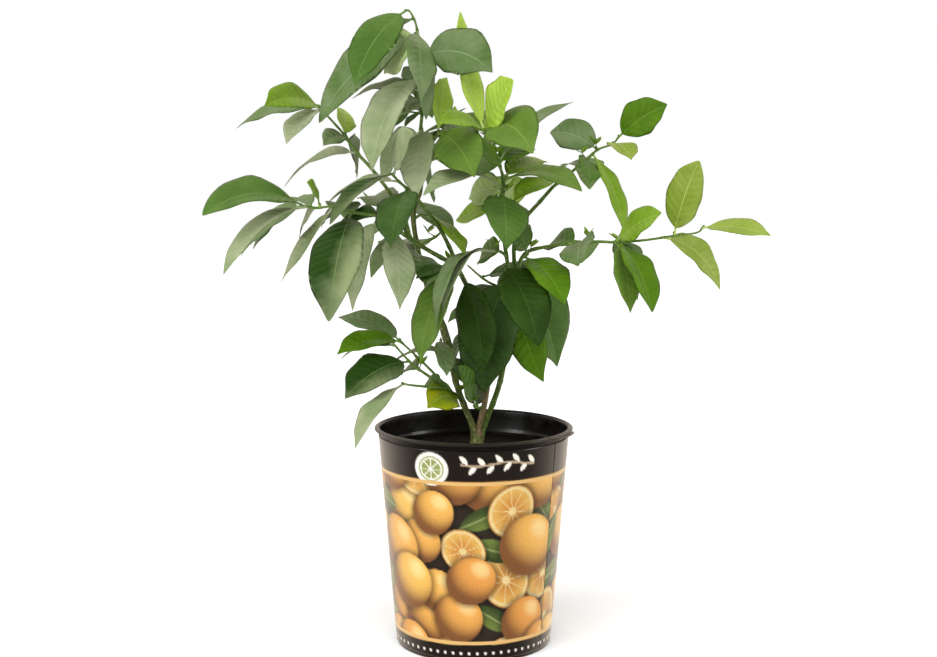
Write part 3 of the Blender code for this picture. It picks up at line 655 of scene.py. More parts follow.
# A place is on a gold line when it is within half the line's width of its middle
half = LINE_WIDTH / 2
for middle in (UPPER_LINE + half, LOWER_LINE - half):
    off = add_node(tree, "Math", across, middle, operation="SUBTRACT")
    size = add_node(tree, "Math", off, operation="ABSOLUTE")
    on = add_node(tree, "MapRange", size, half - 0.2, half + 0.2, 1.0, 0.0)
    colour = add_node(tree, "Mix", Factor=on, A=colour, B=linear("#d6ab68"), data_type="RGBA")
feed(shader, Base_Color=colour)
print("made", wrap_print.name)

# %% Wrap round the pot
def wrapped(name, finish, picture):
    """The sheet rolled round the wall: angle = seam - way along, radius = the wall's at that height
    plus a lift near its end. Its outline goes down the outer face and up the inner one."""
    inner_heights = np.linspace(WRAP_FOOT, WRAP_HEAD, 6)
    outline = np.concatenate([heights, inner_heights])
    outward = np.concatenate([np.full(len(heights), WRAP_THICKNESS), np.zeros(6)]) + WRAP_GAP
    lift = WRAP_LIFT * np.clip((along - 350) / 10, 0, 1)
    angle = np.radians(WRAP_SEAM - along)[:, None]
    radius = wall_radius(outline)[None] + outward[None] + lift[:, None]
    level = np.broadcast_to(outline, radius.shape)
    rings = np.stack([radius * np.cos(angle), radius * np.sin(angle), level], axis=-1)
    uv = np.stack(np.broadcast_arrays(along[:, None] * ROUND, POT_HEIGHT - outline[None]), axis=-1)
    uv = np.vstack([uv.reshape(-1, 2), (0, 100), (WRAP_TURN * ROUND, 100)])
    quads, ends = tube_corners(COLUMNS, len(outline))
    # The sheet runs clockwise, so each face's corners are taken backwards to make it look outwards
    piece = new_piece(name, with_ends(rings), quads[:, ::-1], ends[:, ::-1], [finish], uv=uv)
    tint = np.ones((COLUMNS, len(outline), 4))
    tint[:, :len(heights), :3] = picture
    tint[:, len(heights):, :3] = BLACK
    tint = np.vstack([tint.reshape(-1, 4), np.full((2, 4), 0.3)])
    layer = piece.data.attributes.new("print_colour", "FLOAT_COLOR", "POINT")
    layer.data.foreach_set("color", tint.astype(np.float32).ravel())
    return piece


wrap = wrapped("fruit_print_wrap", wrap_print, picture)
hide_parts("printed_wrap")
print("wrap:", len(wrap.data.polygons), "faces")

# %% [markdown]
# ## The potting mix
# Potting mix is crumbled bark and peat: dark, rough and dull. It fills the pot to 20 mm under the
# rim. A disc worked out on a polar grid is raised by soft lumps, its shader draws the chips, and its
# skirt runs down to the pot's floor so that the piece is as deep as the real filling.

# %% Potting mix
SOIL_LEVEL = 170
SOIL_GAP = 0.3  # between the filling and the pot
SOIL_FALL = 2  # how much lower it lies at the wall

mix_finish, tree, shader = new_finish("bark_and_peat_potting_mix", "#120d09", 0.95,
                                      Specular_IOR_Level=0.15)
place = add_node(tree, "TexCoord").outputs["Object"]
chips = add_node(tree, "TexVoronoi", place, Scale=1 / 0.005).outputs
tint = add_node(tree, "ValToRGB", chips["Color"])
for stop, code in zip(tint.color_ramp.elements, ("#080604", "#1c140e")):
    stop.color = linear(code)
relief = add_node(tree, "Bump", Height=chips["Distance"], Strength=0.8, Distance=0.002)
feed(shader, Base_Color=tint, Normal=relief)


def soft_lumps(points, scale, seed):
    """Lumps between -1 and 1: the mean of sines of three mixed directions, at three finer scales."""
    rng = np.random.default_rng(seed)
    total = 0
    for octave in range(3):
        directions = rng.normal(size=(3, 3)) / (scale / 2 ** octave)
        phases = rng.uniform(0, math.tau, 3)
        waves = np.sin(points @ directions.T * math.tau / 1.7 + phases)
        total = total + waves.mean(axis=-1) / 1.5 ** octave
    return total / 2.1


def filled_pot(name, finish):
    """Rings from the foot up the side and in over the top. The top's height is the level, less a fall
    towards the wall, plus lumps."""
    sides, rings = 120, 46
    angle = np.linspace(0, math.tau, sides, endpoint=False)[None]
    floor_level = POT_FLOOR + SOIL_GAP
    foot = inner_radius(POT_FLOOR) - SOIL_GAP
    edge = inner_radius(168) - SOIL_GAP
    inward = edge * (1 - np.linspace(0.015, 0.99, rings - 3))
    radius = np.concatenate([[foot * 0.5, foot, edge], inward])[:, None]
    height = np.concatenate([[floor_level, floor_level], np.full(rings - 2, SOIL_LEVEL)])[:, None]
    x, y = radius * np.cos(angle), radius * np.sin(angle)
    flat = np.stack([x, y, np.zeros_like(x)], axis=-1)
    lumps = 1.1 * soft_lumps(flat, 26, 3) + 0.9 * soft_lumps(flat, 7, 4)
    fall = SOIL_FALL * smooth_step(30, edge, radius)
    top = (np.arange(rings) >= 2)[:, None]
    z = height + top * (lumps - fall - 0.6) * np.ones_like(x)
    poles = [(0, 0, floor_level), (0, 0, z[-1].mean())]
    points = np.vstack([np.stack([x, y, z], axis=-1).reshape(-1, 3), poles])
    return new_piece(name, points, *tube_corners(rings, sides), [finish])


potting_mix = filled_pot("potting_mix", mix_finish)
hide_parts("soil")
print("potting mix:", len(potting_mix.data.polygons), "faces")

# %% [markdown]
# ## Trunk, stems and boughs
# Young citrus wood is smooth and green, and turns tan and finely furrowed lengthwise as it ages. Each
# limb is a tube along a smooth path. Its radius tapers from root to tip, and is changed a little by
# ridges that run along it and by a swelling at each old leaf joint. A sculpted mesh would do too, but
# the formula keeps every limb exactly on the path that the frame's solid has.

# %% Paths of the limbs
TRUNK = ([(3, 0, 169.6), (3, 0, 172.5), (3.2, 0, 178), (3.8, 0, 184), (4, 0, 187)],
         (8.4, 6.0, 5.2, 4.6, 3.2), "pale")
# Each limb: the places on its path, its radii at even steps along it, and its bark. The first two
# places of each stem lie within the trunk, into which the stems run down as three lobes.
LIMBS = {
    "left_stem": ([(2.2, -0.5, 171), (0.4, -0.8, 181), (-1, -1, 189.8), (-14, 3, 223), (-27, 12, 273),
                   (-42, 18, 315), (-52, 21, 366), (-46, 20, 392), (-43, 16, 418), (-44, 14, 438)],
                  (3.0, 1.7), "pale"),
    "middle_stem": ([(3.4, -0.5, 171), (4.2, -2, 181), (5, -3, 189.6), (11, -6, 221), (10, -10, 257),
                     (4, -12, 290), (-15, -12, 330)], (2.8, 2.0), "tan"),
    "right_stem": ([(4.6, 1, 171), (7, 1.5, 181), (9.5, 2, 189.8), (22, 4, 224), (29, 8, 259),
                    (34, 10, 293), (36, 10, 319)], (2.6, 2.0), "green"),
    "west_bough": ([(-14.5, -12, 329), (-38, -24, 343), (-57, -32, 356), (-64, -35, 362)],
                   (1.9, 1.6), "green"),
    "inner_west_bough": ([(-14.5, -12, 329), (-20, -16, 344), (-31, -22, 365), (-50, -30, 390)],
                         (1.8, 1.5), "green"),
    "northwest_bough": ([(-55, -31, 355), (-63, -5, 374), (-71, 8, 389), (-87, 22, 409),
                         (-99, 34, 421)], (1.6, 1.4), "green"),
    "centre_bough": ([(34, 10, 303), (30, 6, 324), (26, 2, 350), (24, -3, 372), (24, -5, 384)],
                     (1.8, 1.5), "green"),
    "northeast_bough": ([(36, 10, 318), (35, 16, 345), (42, 20, 364), (58, 28, 382), (69, 34, 394)],
                        (1.8, 1.5), "green"),
    "east_bough": ([(36, 10, 318), (41, 5, 334), (48, 1, 341), (63, -5, 345), (75, -10, 347)],
                   (1.7, 1.4), "green"),
    "back_left_bough": ([(-15, 4, 228), (-22, 30, 262), (-38, 58, 300), (-50, 80, 332)],
                        (1.9, 1.5), "green"),
    "back_right_bough": ([(26, 6, 243), (31, 36, 258), (38, 66, 268), (42, 88, 272)],
                         (1.9, 1.5), "green"),
    "back_low_bough": ([(9, -10, 262), (6, 20, 272), (0, 50, 276), (-2, 68, 274)],
                       (1.6, 1.4), "green"),
    "back_top_bough": ([(26, 2, 351), (22, 30, 378), (13, 54, 404), (6, 68, 420)],
                       (1.5, 1.3), "green"),
}
print("limbs:", 1 + len(LIMBS))

# %% Bark finishes
def bark_finish(name, ground, streak, fleck):
    """Smooth young bark: streaks along the stem 1.5 mm apart, and paler flecks 3 to 5 mm apart."""
    finish, tree, shader = new_finish(name, ground, 0.6, Specular_IOR_Level=0.25)
    place = add_node(tree, "UVMap", uv_map="surface_mm")
    drawn_out = add_node(tree, "Mapping", place, Scale=(1 / 1.5, 1 / 14, 1))
    streaks = add_node(tree, "TexNoise", drawn_out, Scale=1.0, Detail=4)
    flecked = add_node(tree, "Mapping", place, Scale=(1 / 3, 1 / 5, 1))
    flecks = add_node(tree, "TexNoise", flecked, Scale=1.0, Detail=3)
    ramp = add_node(tree, "ValToRGB", streaks)
    for stop, position, code in zip(ramp.color_ramp.elements, (0.38, 0.64), (ground, streak)):
        stop.position = position
        stop.color = linear(code)
    spots = add_node(tree, "MapRange", flecks, 0.55, 0.68)
    bark = add_node(tree, "Mix", Factor=spots, A=ramp, B=linear(fleck), data_type="RGBA")
    relief = add_node(tree, "Bump", Height=streaks, Strength=0.5, Distance=0.0006)
    feed(shader, Base_Color=bark, Normal=relief)
    return finish


BARKS = {
    "pale": bark_finish("pale_green_bark", "#4c5628", "#7c8248", "#a8a878"),
    "tan": bark_finish("tan_furrowed_bark", "#6c5a3c", "#94805c", "#b0a080"),
    "green": bark_finish("young_green_bark", "#466022", "#688038", "#92a05c"),
}
print("barks:", list(BARKS))

# %% Round tubes
def round_tube(path, radii, sides, ribs=0.0, relief=0.0, phase=0.0):
    """Rings round a path, and their UV places. Each point is its place plus cos(angle) times one
    direction square to the path plus sin(angle) times the other, times the radius, which three ribs
    and finer ridges change a little."""
    tangent = unit(np.gradient(path, axis=0))
    axis = np.eye(3)[np.argmin(np.abs(path[-1] - path[0]))]
    side = unit(np.cross(tangent, axis))
    other = np.cross(tangent, side)
    angle = np.linspace(0, math.tau, sides + 1)
    way = distances(path)[:, None]
    ridges = (np.sin(7 * angle + way * 0.05 + phase) + 0.8 * np.sin(12 * angle - way * 0.11)
              + 0.6 * np.sin(way * 0.9 + 2 * np.sin(2 * angle)))
    ridges = ribs * np.cos(3 * angle + way * 0.012 + phase) + relief * ridges
    across = (np.cos(angle)[None, :, None] * side[:, None]
              + np.sin(angle)[None, :, None] * other[:, None])
    rings = path[:, None] + (radii[:, None] * (1 + ridges))[..., None] * across
    return rings, np.stack(np.broadcast_arrays(angle[None] * radii.mean(), way), axis=-1)


def tube_arrays(rings, uv):
    """A round tube's points, UV places and corners. The first and last point of a ring are the same
    place with two UV values, so the pattern has no torn strip where it meets itself."""
    count, width = rings.shape[:2]
    return with_ends(rings), with_ends(uv), *tube_corners(count, width, width - 1)


def joints_swell(way, places, amount, width):
    """1 plus a bell-shaped swelling at each place along the limb."""
    return 1 + amount * np.exp(-((way[:, None] - np.asarray(places)[None]) / width) ** 2).sum(axis=1)


print("points of a plain tube:", len(tube_arrays(*round_tube(np.eye(3), np.ones(3), 7))[0]))

# %% Limbs with bark relief
JOINT_STEP = 21
OLD_JOINT = (0.16, 2.2)  # how much a limb swells where an old leaf was, and over what length
FLARE_REACH = 5


def limb(name, points, radii, bark, sides=24, pieces=24, root_flare=0.35):
    """A tapering limb whose root widens where it leaves its parent."""
    path = smooth_path(points, pieces)
    way = distances(path)
    radius = np.interp(np.linspace(0, 1, len(path)), np.linspace(0, 1, len(radii)), radii)
    rng = random.Random(name)
    joints = np.arange(rng.uniform(12, 20), way[-1] - 6, JOINT_STEP) + rng.uniform(-3, 3)
    flare = 1 + root_flare * np.exp(-way / FLARE_REACH)
    radius = radius * joints_swell(way, joints, *OLD_JOINT) * flare
    rings, uv = round_tube(path, radius, sides, 0.05, 0.02, rng.uniform(0, 6))
    points, places, quads, ends = tube_arrays(rings, uv)
    piece = new_piece(name + "_bark", points, quads, ends, [BARKS[bark]], uv=places)
    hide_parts(name)
    return piece


made = [limb("trunk", *TRUNK, 40, 12, 0.15), *[limb(name, *shape) for name, shape in LIMBS.items()]]
print("limbs:", len(made), "faces:", sum(len(piece.data.polygons) for piece in made))

# %% [markdown]
# ## Where the leaves grow
# The tree's leaves are few and large, so each one that the viewer sees has its own row: how far along
# its twig it grows, where it points, and its size. The far side follows a seeded rule, in which side
# twigs and leaves step round their stem. The frame's solids were grown from the same rows and rule,
# and some leaves were turned a little there to keep clear of others. So the same turns are tried
# here, and the one is kept whose tip and edges are corners of the solid.

# %% Rows of the near masses
# Each twig of a mass: the places on its path, its leaves' rows, and their tones. A row: distance along
# the twig, heading, rise, length, width, roll, and arch if unusual.
NEAR_MASSES = {
    "inner_west_foliage": [
        ([(-49.5, -29.8, 389.5), (-53, -31, 393), (-62, -34, 401), (-68, -37, 408)],
         [(8, 260, -35, 78, 37, 15), (26, 225, -30, 78, 24, 0), (17, 145, -15, 82, 26, -20),
          (24, 290, 35, 62, 26, 95)],
         "dark sheen silver silver"),
    ],
    "top_foliage": [
        ([(-44, 14, 437), (-45, 13, 446), (-44, 12, 458), (-45, 10, 473), (-45, 6, 502),
          (-48, 2, 529), (-53, 0, 541), (-57, 0, 543)],
         [(110, 230, -45, 90, 35, -30), (88, 165, -40, 116, 44, -60), (90, 275, -45, 84, 31, -35),
          (91, 290, -57, 90, 26, -40, 0.08), (68, 340, -12, 66, 46, 62, 0.16),
          (86, 140, -38, 50, 42, -70, 0.05), (53, 235, -50, 104, 42, 0, 0.14),
          (39, 145, -4, 75, 24, -25), (30, 255, -12, 44, 22, -25), (22, 250, 5, 24, 9, -50),
          (21, 230, -30, 26, 9, -5), (5, 128, -35, 74, 31, -80), (7, 252, -42, 84, 33, 25),
          (60, 95, -20, 72, 30, 0), (30, 125, -25, 70, 30, 0), (100, 135, -30, 56, 24, 10)],
         "green grey grey grey grey pale silver grey silver grey grey silver silver grey dark "
         "green"),
    ],
    "side_foliage": [
        ([(-43, 15.5, 424), (-35, 5, 435), (-28, -4, 442)],
         [(27, 295, -26, 80, 42, 35), (27, 78, 56, 58, 24, 55), (27, 50, -5, 60, 24, 15),
          (6, 95, -40, 76, 33, -115)],
         "olive glow fresh green"),
    ],
    "centre_foliage": [
        ([(24, -5, 383), (25, -8, 401), (23, -10, 410), (19, -14, 422), (13, -18, 435),
          (8, -20, 444)],
         [(7, 272, -36, 74, 40, -15), (64, 297, -12, 84, 44, 42, 0.16),
          (18, 320, -5, 82, 28, 20, 0.14), (12, 220, -3, 86, 29, -15, 0.16), (20, 55, 10, 70, 27, 20),
          (63, 125, 70, 108, 29, 15, -0.08), (62, 295, 40, 66, 38, 95, 0.04),
          (35, 30, 34, 90, 25, 10), (64, 232, 6, 60, 24, -40), (60, 125, 20, 48, 20, -15),
          (31, 245, 15, 48, 26, -65), (33, 55, 15, 56, 26, 25), (9, 128, -10, 48, 31, -70),
          (14, 80, -20, 40, 20, 105), (4, 140, -20, 66, 26, -60, 0.0), (40, 95, -15, 76, 32, 0),
          (22, 75, -25, 74, 32, 0), (60, 90, 5, 70, 30, 0)],
         "green olive olive silver young glow glow grey young young fresh fresh pale pale glow "
         "green glow dark"),
    ],
    "west_foliage": [
        ([(-63.5, -34.8, 361.6), (-77, -42, 372), (-98, -48, 376), (-115, -52, 381), (-129, -54, 380),
          (-140, -56, 382)],
         [(84, 220, -3, 94, 38, -30, 0.14), (79, 225, -30, 100, 25, -5, 0.14),
          (83, 145, -32, 84, 24, -55), (84, 135, -30, 78, 24, -55), (43, 260, -47, 112, 44, 5),
          (18, 130, -12, 70, 25, -35), (59, 150, -50, 85, 24, -50, 0.01), (70, 250, 42, 32, 17, -70),
          (53, 120, -25, 42, 15, -65), (77, 115, 5, 45, 19, -10), (74, 120, -45, 38, 20, -60),
          (20, 130, -65, 90, 26, -95), (5, 278, -50, 84, 32, -30), (52, 92, -20, 72, 30, 0)],
         "green silver grey grey sheen dark silver young sheen grey silver silver silver dark"),
    ],
    "northwest_foliage": [
        ([(-98.5, 33.6, 420.6), (-109, 40, 434), (-115, 42, 442), (-129, 48, 457), (-136, 50, 465)],
         [(58, 235, 0, 72, 29, -50), (57, 160, -12, 85, 30, -30), (56, 240, -30, 60, 24, -5),
          (23, 95, 35, 40, 22, 40), (22, 245, -10, 40, 20, -35), (4, 145, -20, 90, 28, -25, 0.12),
          (20, 85, -35, 62, 32, 90)],
         "young grey silver glow grey silver green"),
    ],
    "northeast_foliage": [
        ([(68.5, 33.8, 393.6), (96, 45, 415), (109, 50, 426), (122, 52, 431), (128, 54, 438)],
         [(76, 345, 34, 52, 34, 75, 0.05), (68, 285, -15, 50, 26, 0), (54, 148, 18, 50, 32, -55),
          (48, 295, -50, 90, 22, -15), (41, 270, -25, 46, 25, -35), (31, 110, -5, 36, 14, -15),
          (8, 225, -15, 60, 23, -20), (44, 85, -30, 60, 26, 0)],
         "fresh lime grey young green grey young green"),
    ],
    "east_foliage": [
        ([(74.5, -9.8, 346.9), (102, -20, 350), (119, -25, 350), (142, -30, 352), (166, -35, 356),
          (185, -38, 359), (189, -40, 364)],
         [(121, 315, -3, 68, 20, 35, 0.05), (86, 30, -37, 78, 27, 65, 0.14),
          (96, 295, 60, 72, 32, 120, 0.05), (47, 310, 27, 58, 29, 65, 0.05),
          (50, 295, -45, 76, 31, -10), (48, 282, -55, 68, 25, -15), (48, 55, -55, 64, 22, 90),
          (16, 265, -15, 58, 34, 30), (13, 120, -10, 48, 28, -40), (20, 88, -20, 66, 28, 0),
          (52, 75, -30, 60, 26, 0)],
         "lime lime lime young fresh olive fresh grey green green dark"),
    ],
    "front_foliage": [
        ([(31, 7, 316), (29, -6, 322), (25, -16, 331)],
         [(28, 292, -40, 94, 40, 18), (10, 218, -74, 102, 50, -45), (12, 42, -55, 104, 58, 90),
          (4, 325, -78, 94, 34, 50, -0.04)],
         "deep dark green fresh"),
    ],
    "right_foliage": [
        ([(46, 2.3, 339.3), (45, -3, 337.5), (43, -8, 335)],
         [(10, 295, -25, 78, 34, 5), (4, 250, 32, 46, 24, -120)],
         "fresh green"),
    ],
    "middle_foliage": [
        ([(28, 4, 336), (22, -8, 341), (16, -16, 341)],
         [(18, 230, -40, 102, 24, 15, 0.3), (20, 230, -30, 84, 22, 15, 0.25),
          (12, 115, -15, 46, 28, -60)],
         "grey silver fresh"),
    ],
    "fork_foliage": [
        ([(-9, -12, 318), (-12, -22, 325), (-18, -28, 329)],
         [(8, 315, -74, 86, 38, 75), (21, 236, -52, 86, 34, 0), (20, 120, -45, 76, 32, -70),
          (16, 238, -6, 46, 18, -15)],
         "deep olive fresh dark"),
    ],
    "left_foliage": [
        ([(-44, 18.5, 324), (-46, 10, 333), (-47, -2, 340)],
         [(21, 225, -13, 68, 24, -5, 0.25), (22, 275, -20, 56, 34, -25), (9, 240, -10, 42, 15, -5)],
         "silver green fresh"),
    ],
    "upper_left_foliage": [
        ([(-52, 21, 367), (-45, 12, 371), (-38, 6, 370)],
         [(20, 300, -25, 68, 31, -10)],
         "young"),
    ],
    "lower_left_foliage": [
        ([(-9, 1, 210), (-15, -9, 218), (-20, -16, 223), (-35, -28, 241), (-47, -34, 254),
          (-62, -40, 269)],
         [(9, 240, -2, 52, 32, -45), (89, 150, 15, 66, 25, -25), (89, 220, -4, 66, 24, -30),
          (36, 125, -15, 30, 15, -50)],
         "turning grey fresh green"),
        ([(-20, -16, 223), (-41, -38, 241), (-51, -48, 250), (-67, -60, 270)],
         [(56, 225, -18, 74, 35, -30), (76, 145, -15, 60, 22, -20), (43, 115, -15, 40, 20, -35)],
         "sheen grey green"),
        ([(-23, -19, 225), (-43, -50, 232), (-53, -62, 235), (-59, -66, 237)],
         [(59, 240, -30, 84, 27, 15)],
         "silver"),
    ],
    "lower_middle_foliage": [
        ([(-20, 7.5, 247), (-25, -2, 254), (-28, -8, 263), (-28, -10, 268)],
         [(8, 300, -35, 40, 18, 0), (27, 280, -40, 42, 20, -20), (12, 140, -15, 66, 18, -15)],
         "dark grey grey"),
    ],
    "base_foliage": [
        ([(8, -4.5, 207), (3, -12, 207), (-1, -16, 210)],
         [(12, 245, 50, 52, 26, -95, 0.04), (9, 95, 30, 50, 24, 50, 0.04)],
         "green dark"),
    ],
}
print("near masses:", len(NEAR_MASSES))

# %% The far masses and the leaves that no row gives
# Each far mass: the places on its stem, and the number of its side twigs
FAR_MASSES = {
    "back_left_foliage": ([(-49.6, 79.2, 331), (-58, 92, 350), (-66, 102, 370)], 3),
    "back_right_foliage": ([(41.9, 87.4, 271.9), (42, 100, 282), (40, 114, 298)], 3),
    "back_low_foliage": ([(-2, 67.4, 274), (-2, 80, 268), (2, 92, 262)], 2),
    "back_top_foliage": ([(6.2, 67.6, 419.6), (0, 80, 436), (-6, 88, 452)], 3),
}
# Near masses with seeded leaves on the side that faces away, and the tones of leaves without a row
LEAVES_BEHIND = {"top_foliage": 3, "west_foliage": 1}
USUAL_TONES = "green green dark grey"
TONES_BEHIND = {
    "back_left_foliage": "grey silver",
    "back_right_foliage": "dark deep",
    "back_low_foliage": "dark deep",
}
print("far masses:", len(FAR_MASSES))

# %% The growing rule
SEED = 8
LEAF_TURN = 144  # two fifths of a turn from each leaf to the next
SIDE_TWIG_LENGTH = 46
# A rule: the step between leaves, their lengths, how far their heading sways, their rises, the share
# of their length that they are wide, and how far a heading must point away from the viewer, as a sine
ALL_ROUND = (12, (58, 86), 14, (-45, 0), (0.38, 0.48), -2)
FAR_SIDE = (13, (52, 76), 12, (-35, 5), (0.38, 0.46), 0.25)
TURNS = [(0, 0, 0)] + [
    tuple(sign * angle if i == axis else 0 for i in range(3))
    for angle in (5, 10, 16, 24)
    for axis in (2, 0, 1)
    for sign in (1, -1)
]


def ruled_rows(rng, rule, at, length, heading):
    """Rows of leaves at even steps along a twig, each a part of a turn on from the last."""
    step, sizes, sway, rises, widths, least = rule
    rows = []
    while at < length:
        if math.sin(math.radians(heading)) > least:
            size = rng.uniform(*sizes)
            rows.append((at, heading + rng.uniform(-sway, sway), rng.uniform(*rises), size,
                         size * rng.uniform(*widths), rng.uniform(-25, 25)))
        heading += LEAF_TURN
        at += step
    return rows


def side_twig(rng, stem, at, heading):
    """A short twig that leaves the stem at a place and curves upwards."""
    root = point_along(stem, at)
    turn = math.radians(heading)
    reach = SIDE_TWIG_LENGTH * rng.uniform(0.85, 1.15)
    out = np.array([math.cos(turn), math.sin(turn), 0]) * reach
    bend = root + out * 0.5 + (0, 0, reach * 0.18)
    return smooth_path([root, bend, root + out * 0.9 + (0, 0, reach * 0.5)])


def grown_twigs(rng, name):
    """Each twig of a mass as its path, its rows and the tones given for them, in the order in which
    the frame's solid was grown."""
    if name in NEAR_MASSES:
        twigs = [(smooth_path(points), list(rows), tones.split())
                 for points, rows, tones in NEAR_MASSES[name]]
        path, rows, _ = twigs[0]
        unseen = ruled_rows(rng, FAR_SIDE, FAR_SIDE[0] * 0.6, distances(path)[-1], rng.uniform(0, 360))
        rows += unseen[:LEAVES_BEHIND.get(name, 0)]
        return twigs
    points, side_twigs = FAR_MASSES[name]
    stem = smooth_path(points)
    length = distances(stem)[-1]
    twigs = [(stem, ruled_rows(rng, ALL_ROUND, 4, length, rng.uniform(0, 360)), [])]
    for i in range(side_twigs):
        at = length * (i + 0.6) / side_twigs
        twig = side_twig(rng, stem, at, 20 + i * LEAF_TURN / 2 + rng.uniform(-15, 15))
        rows = ruled_rows(rng, ALL_ROUND, ALL_ROUND[0], distances(twig)[-1], rng.uniform(0, 360))
        twigs.append((twig, rows, []))
    return twigs


print("turns tried:", len(TURNS))

# %% Places on a leaf
USUAL_ARCH = 0.10
LEAF_FOLD = 0.22


def leaf_axes(heading, rise, roll):
    """A leaf's direction, the way it arches, and the way its upper face looks. The arch is straight up
    less its part along the leaf, and the face is that direction rolled about the leaf."""
    heading, rise, roll = np.radians(heading), np.radians(rise), np.radians(roll)
    flat = np.cos(rise)
    ahead = np.stack([np.cos(heading) * flat, np.sin(heading) * flat, np.sin(rise)], axis=-1)
    lift = unit(np.array([0, 0, 1]) - ahead * ahead[..., 2:])
    face = lift * np.cos(roll)[..., None] + np.cross(ahead, lift) * np.sin(roll)[..., None]
    return ahead, lift, face


def blade_frame(rows, roots, along, dims):
    """Along each leaf: its midrib, the way up from its face, and the way across it. The midrib is the
    root plus the leaf's direction times the way along plus a parabola of its arch. The arrays' first
    axis is the leaf, and dims is the number of further axes before the last, which is x, y and z."""
    spread = (slice(None),) + (None,) * dims
    ahead, lift, face = (axis[spread] for axis in leaf_axes(rows[:, 1], rows[:, 2], rows[:, 5]))
    length, width, arch = (rows[:, i][spread + (None,)] for i in (3, 4, 6))
    midrib = roots[spread] + ahead * length * along + lift * length * arch * 4 * along * (1 - along)
    tangent = unit(ahead + lift * arch * 4 * (1 - 2 * along))
    up = unit(face - tangent * (face * tangent).sum(axis=-1, keepdims=True))
    return midrib, up, np.cross(tangent, up), length, width


def leaf_places(rows, roots, along, across):
    """Places on flat folded blades: each lies off the midrib by a share of the half width."""
    midrib, up, side, _, width = blade_frame(rows, roots, along[None, :, None], 1)
    half = width / 2 * across[None, :, None]
    return midrib + side * half + up * np.abs(half) * LEAF_FOLD


print("a level leaf's face looks", leaf_axes(0, 0, 0)[2])

# %% Finding each leaf in its solid
MARKS_ALONG = np.array([1.0, 0.69, 0.69])  # the tip, and both edges near it
MARKS_ACROSS = np.array([0.0, 0.78, -0.78])
CLOSE = 0.1


def corners_of(node):
    """The solid's corners in millimetres."""
    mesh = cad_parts[node].data
    corners = np.empty(len(mesh.vertices) * 3)
    mesh.vertices.foreach_get("co", corners)
    return np.unique(corners.reshape(-1, 3).round(6), axis=0) / MM


def fitted_row(row, root, corners):
    """The row with the turn that its leaf has in the solid, or None if the leaf isn't there. Each mark
    must be close to a corner of the solid."""
    at, heading, rise, length, width, roll = row[:6]
    arch = row[6] if len(row) > 6 else USUAL_ARCH
    tried = np.array([(at, heading + a, rise + b, length, width, roll + c, arch) for a, b, c in TURNS])
    marks = leaf_places(tried, np.repeat(root[None], len(tried), axis=0), MARKS_ALONG, MARKS_ACROSS)
    gaps = np.linalg.norm(marks[:, :, None] - corners[None, None], axis=-1).min(axis=-1)
    fits = np.flatnonzero((gaps < CLOSE).all(axis=1))
    return tried[fits[0]] if len(fits) else None


rng = random.Random(SEED)
tone_rng = random.Random(3)
SPRAYS = {}
for name in [*NEAR_MASSES, *FAR_MASSES]:
    corners = corners_of(name)
    tones_behind = TONES_BEHIND.get(name, USUAL_TONES).split()
    SPRAYS[name] = []
    for path, rows, tones in grown_twigs(rng, name):
        tones = tones + [tone_rng.choice(tones_behind) for _ in rows[len(tones):]]
        roots = [point_along(path, row[0]) for row in rows]
        fitted = [fitted_row(row, root, corners) for row, root in zip(rows, roots)]
        found = [leaf for leaf in zip(fitted, roots, tones) if leaf[0] is not None]
        if found:
            SPRAYS[name].append((path, found))
print("leaves found:", sum(len(found) for spray in SPRAYS.values() for _, found in spray))

# %% [markdown]
# ## Leaf finishes
# A lemon leaf has a waxy upper face that takes a soft sheen, and a paler, duller underside. Its
# midrib and stalk are paler still. Old leaves are dark green, young ones bright yellow-green, and
# those that catch the light look grey-green. That grey-green is a painted sheen in the grey, silver
# and sheen tones, and the glow and pale tones are painted light shining through thin leaves. Each
# tone is a finish of its own, dealt out leaf by leaf, and the side veins are a fine relief that
# follows the leaf's own UV map.

# %% Leaf tones
VEIN_STEP = 7
VEIN_SLANT = -0.75
CRUMPLE = 4.0  # how far the veins stray from straight lines


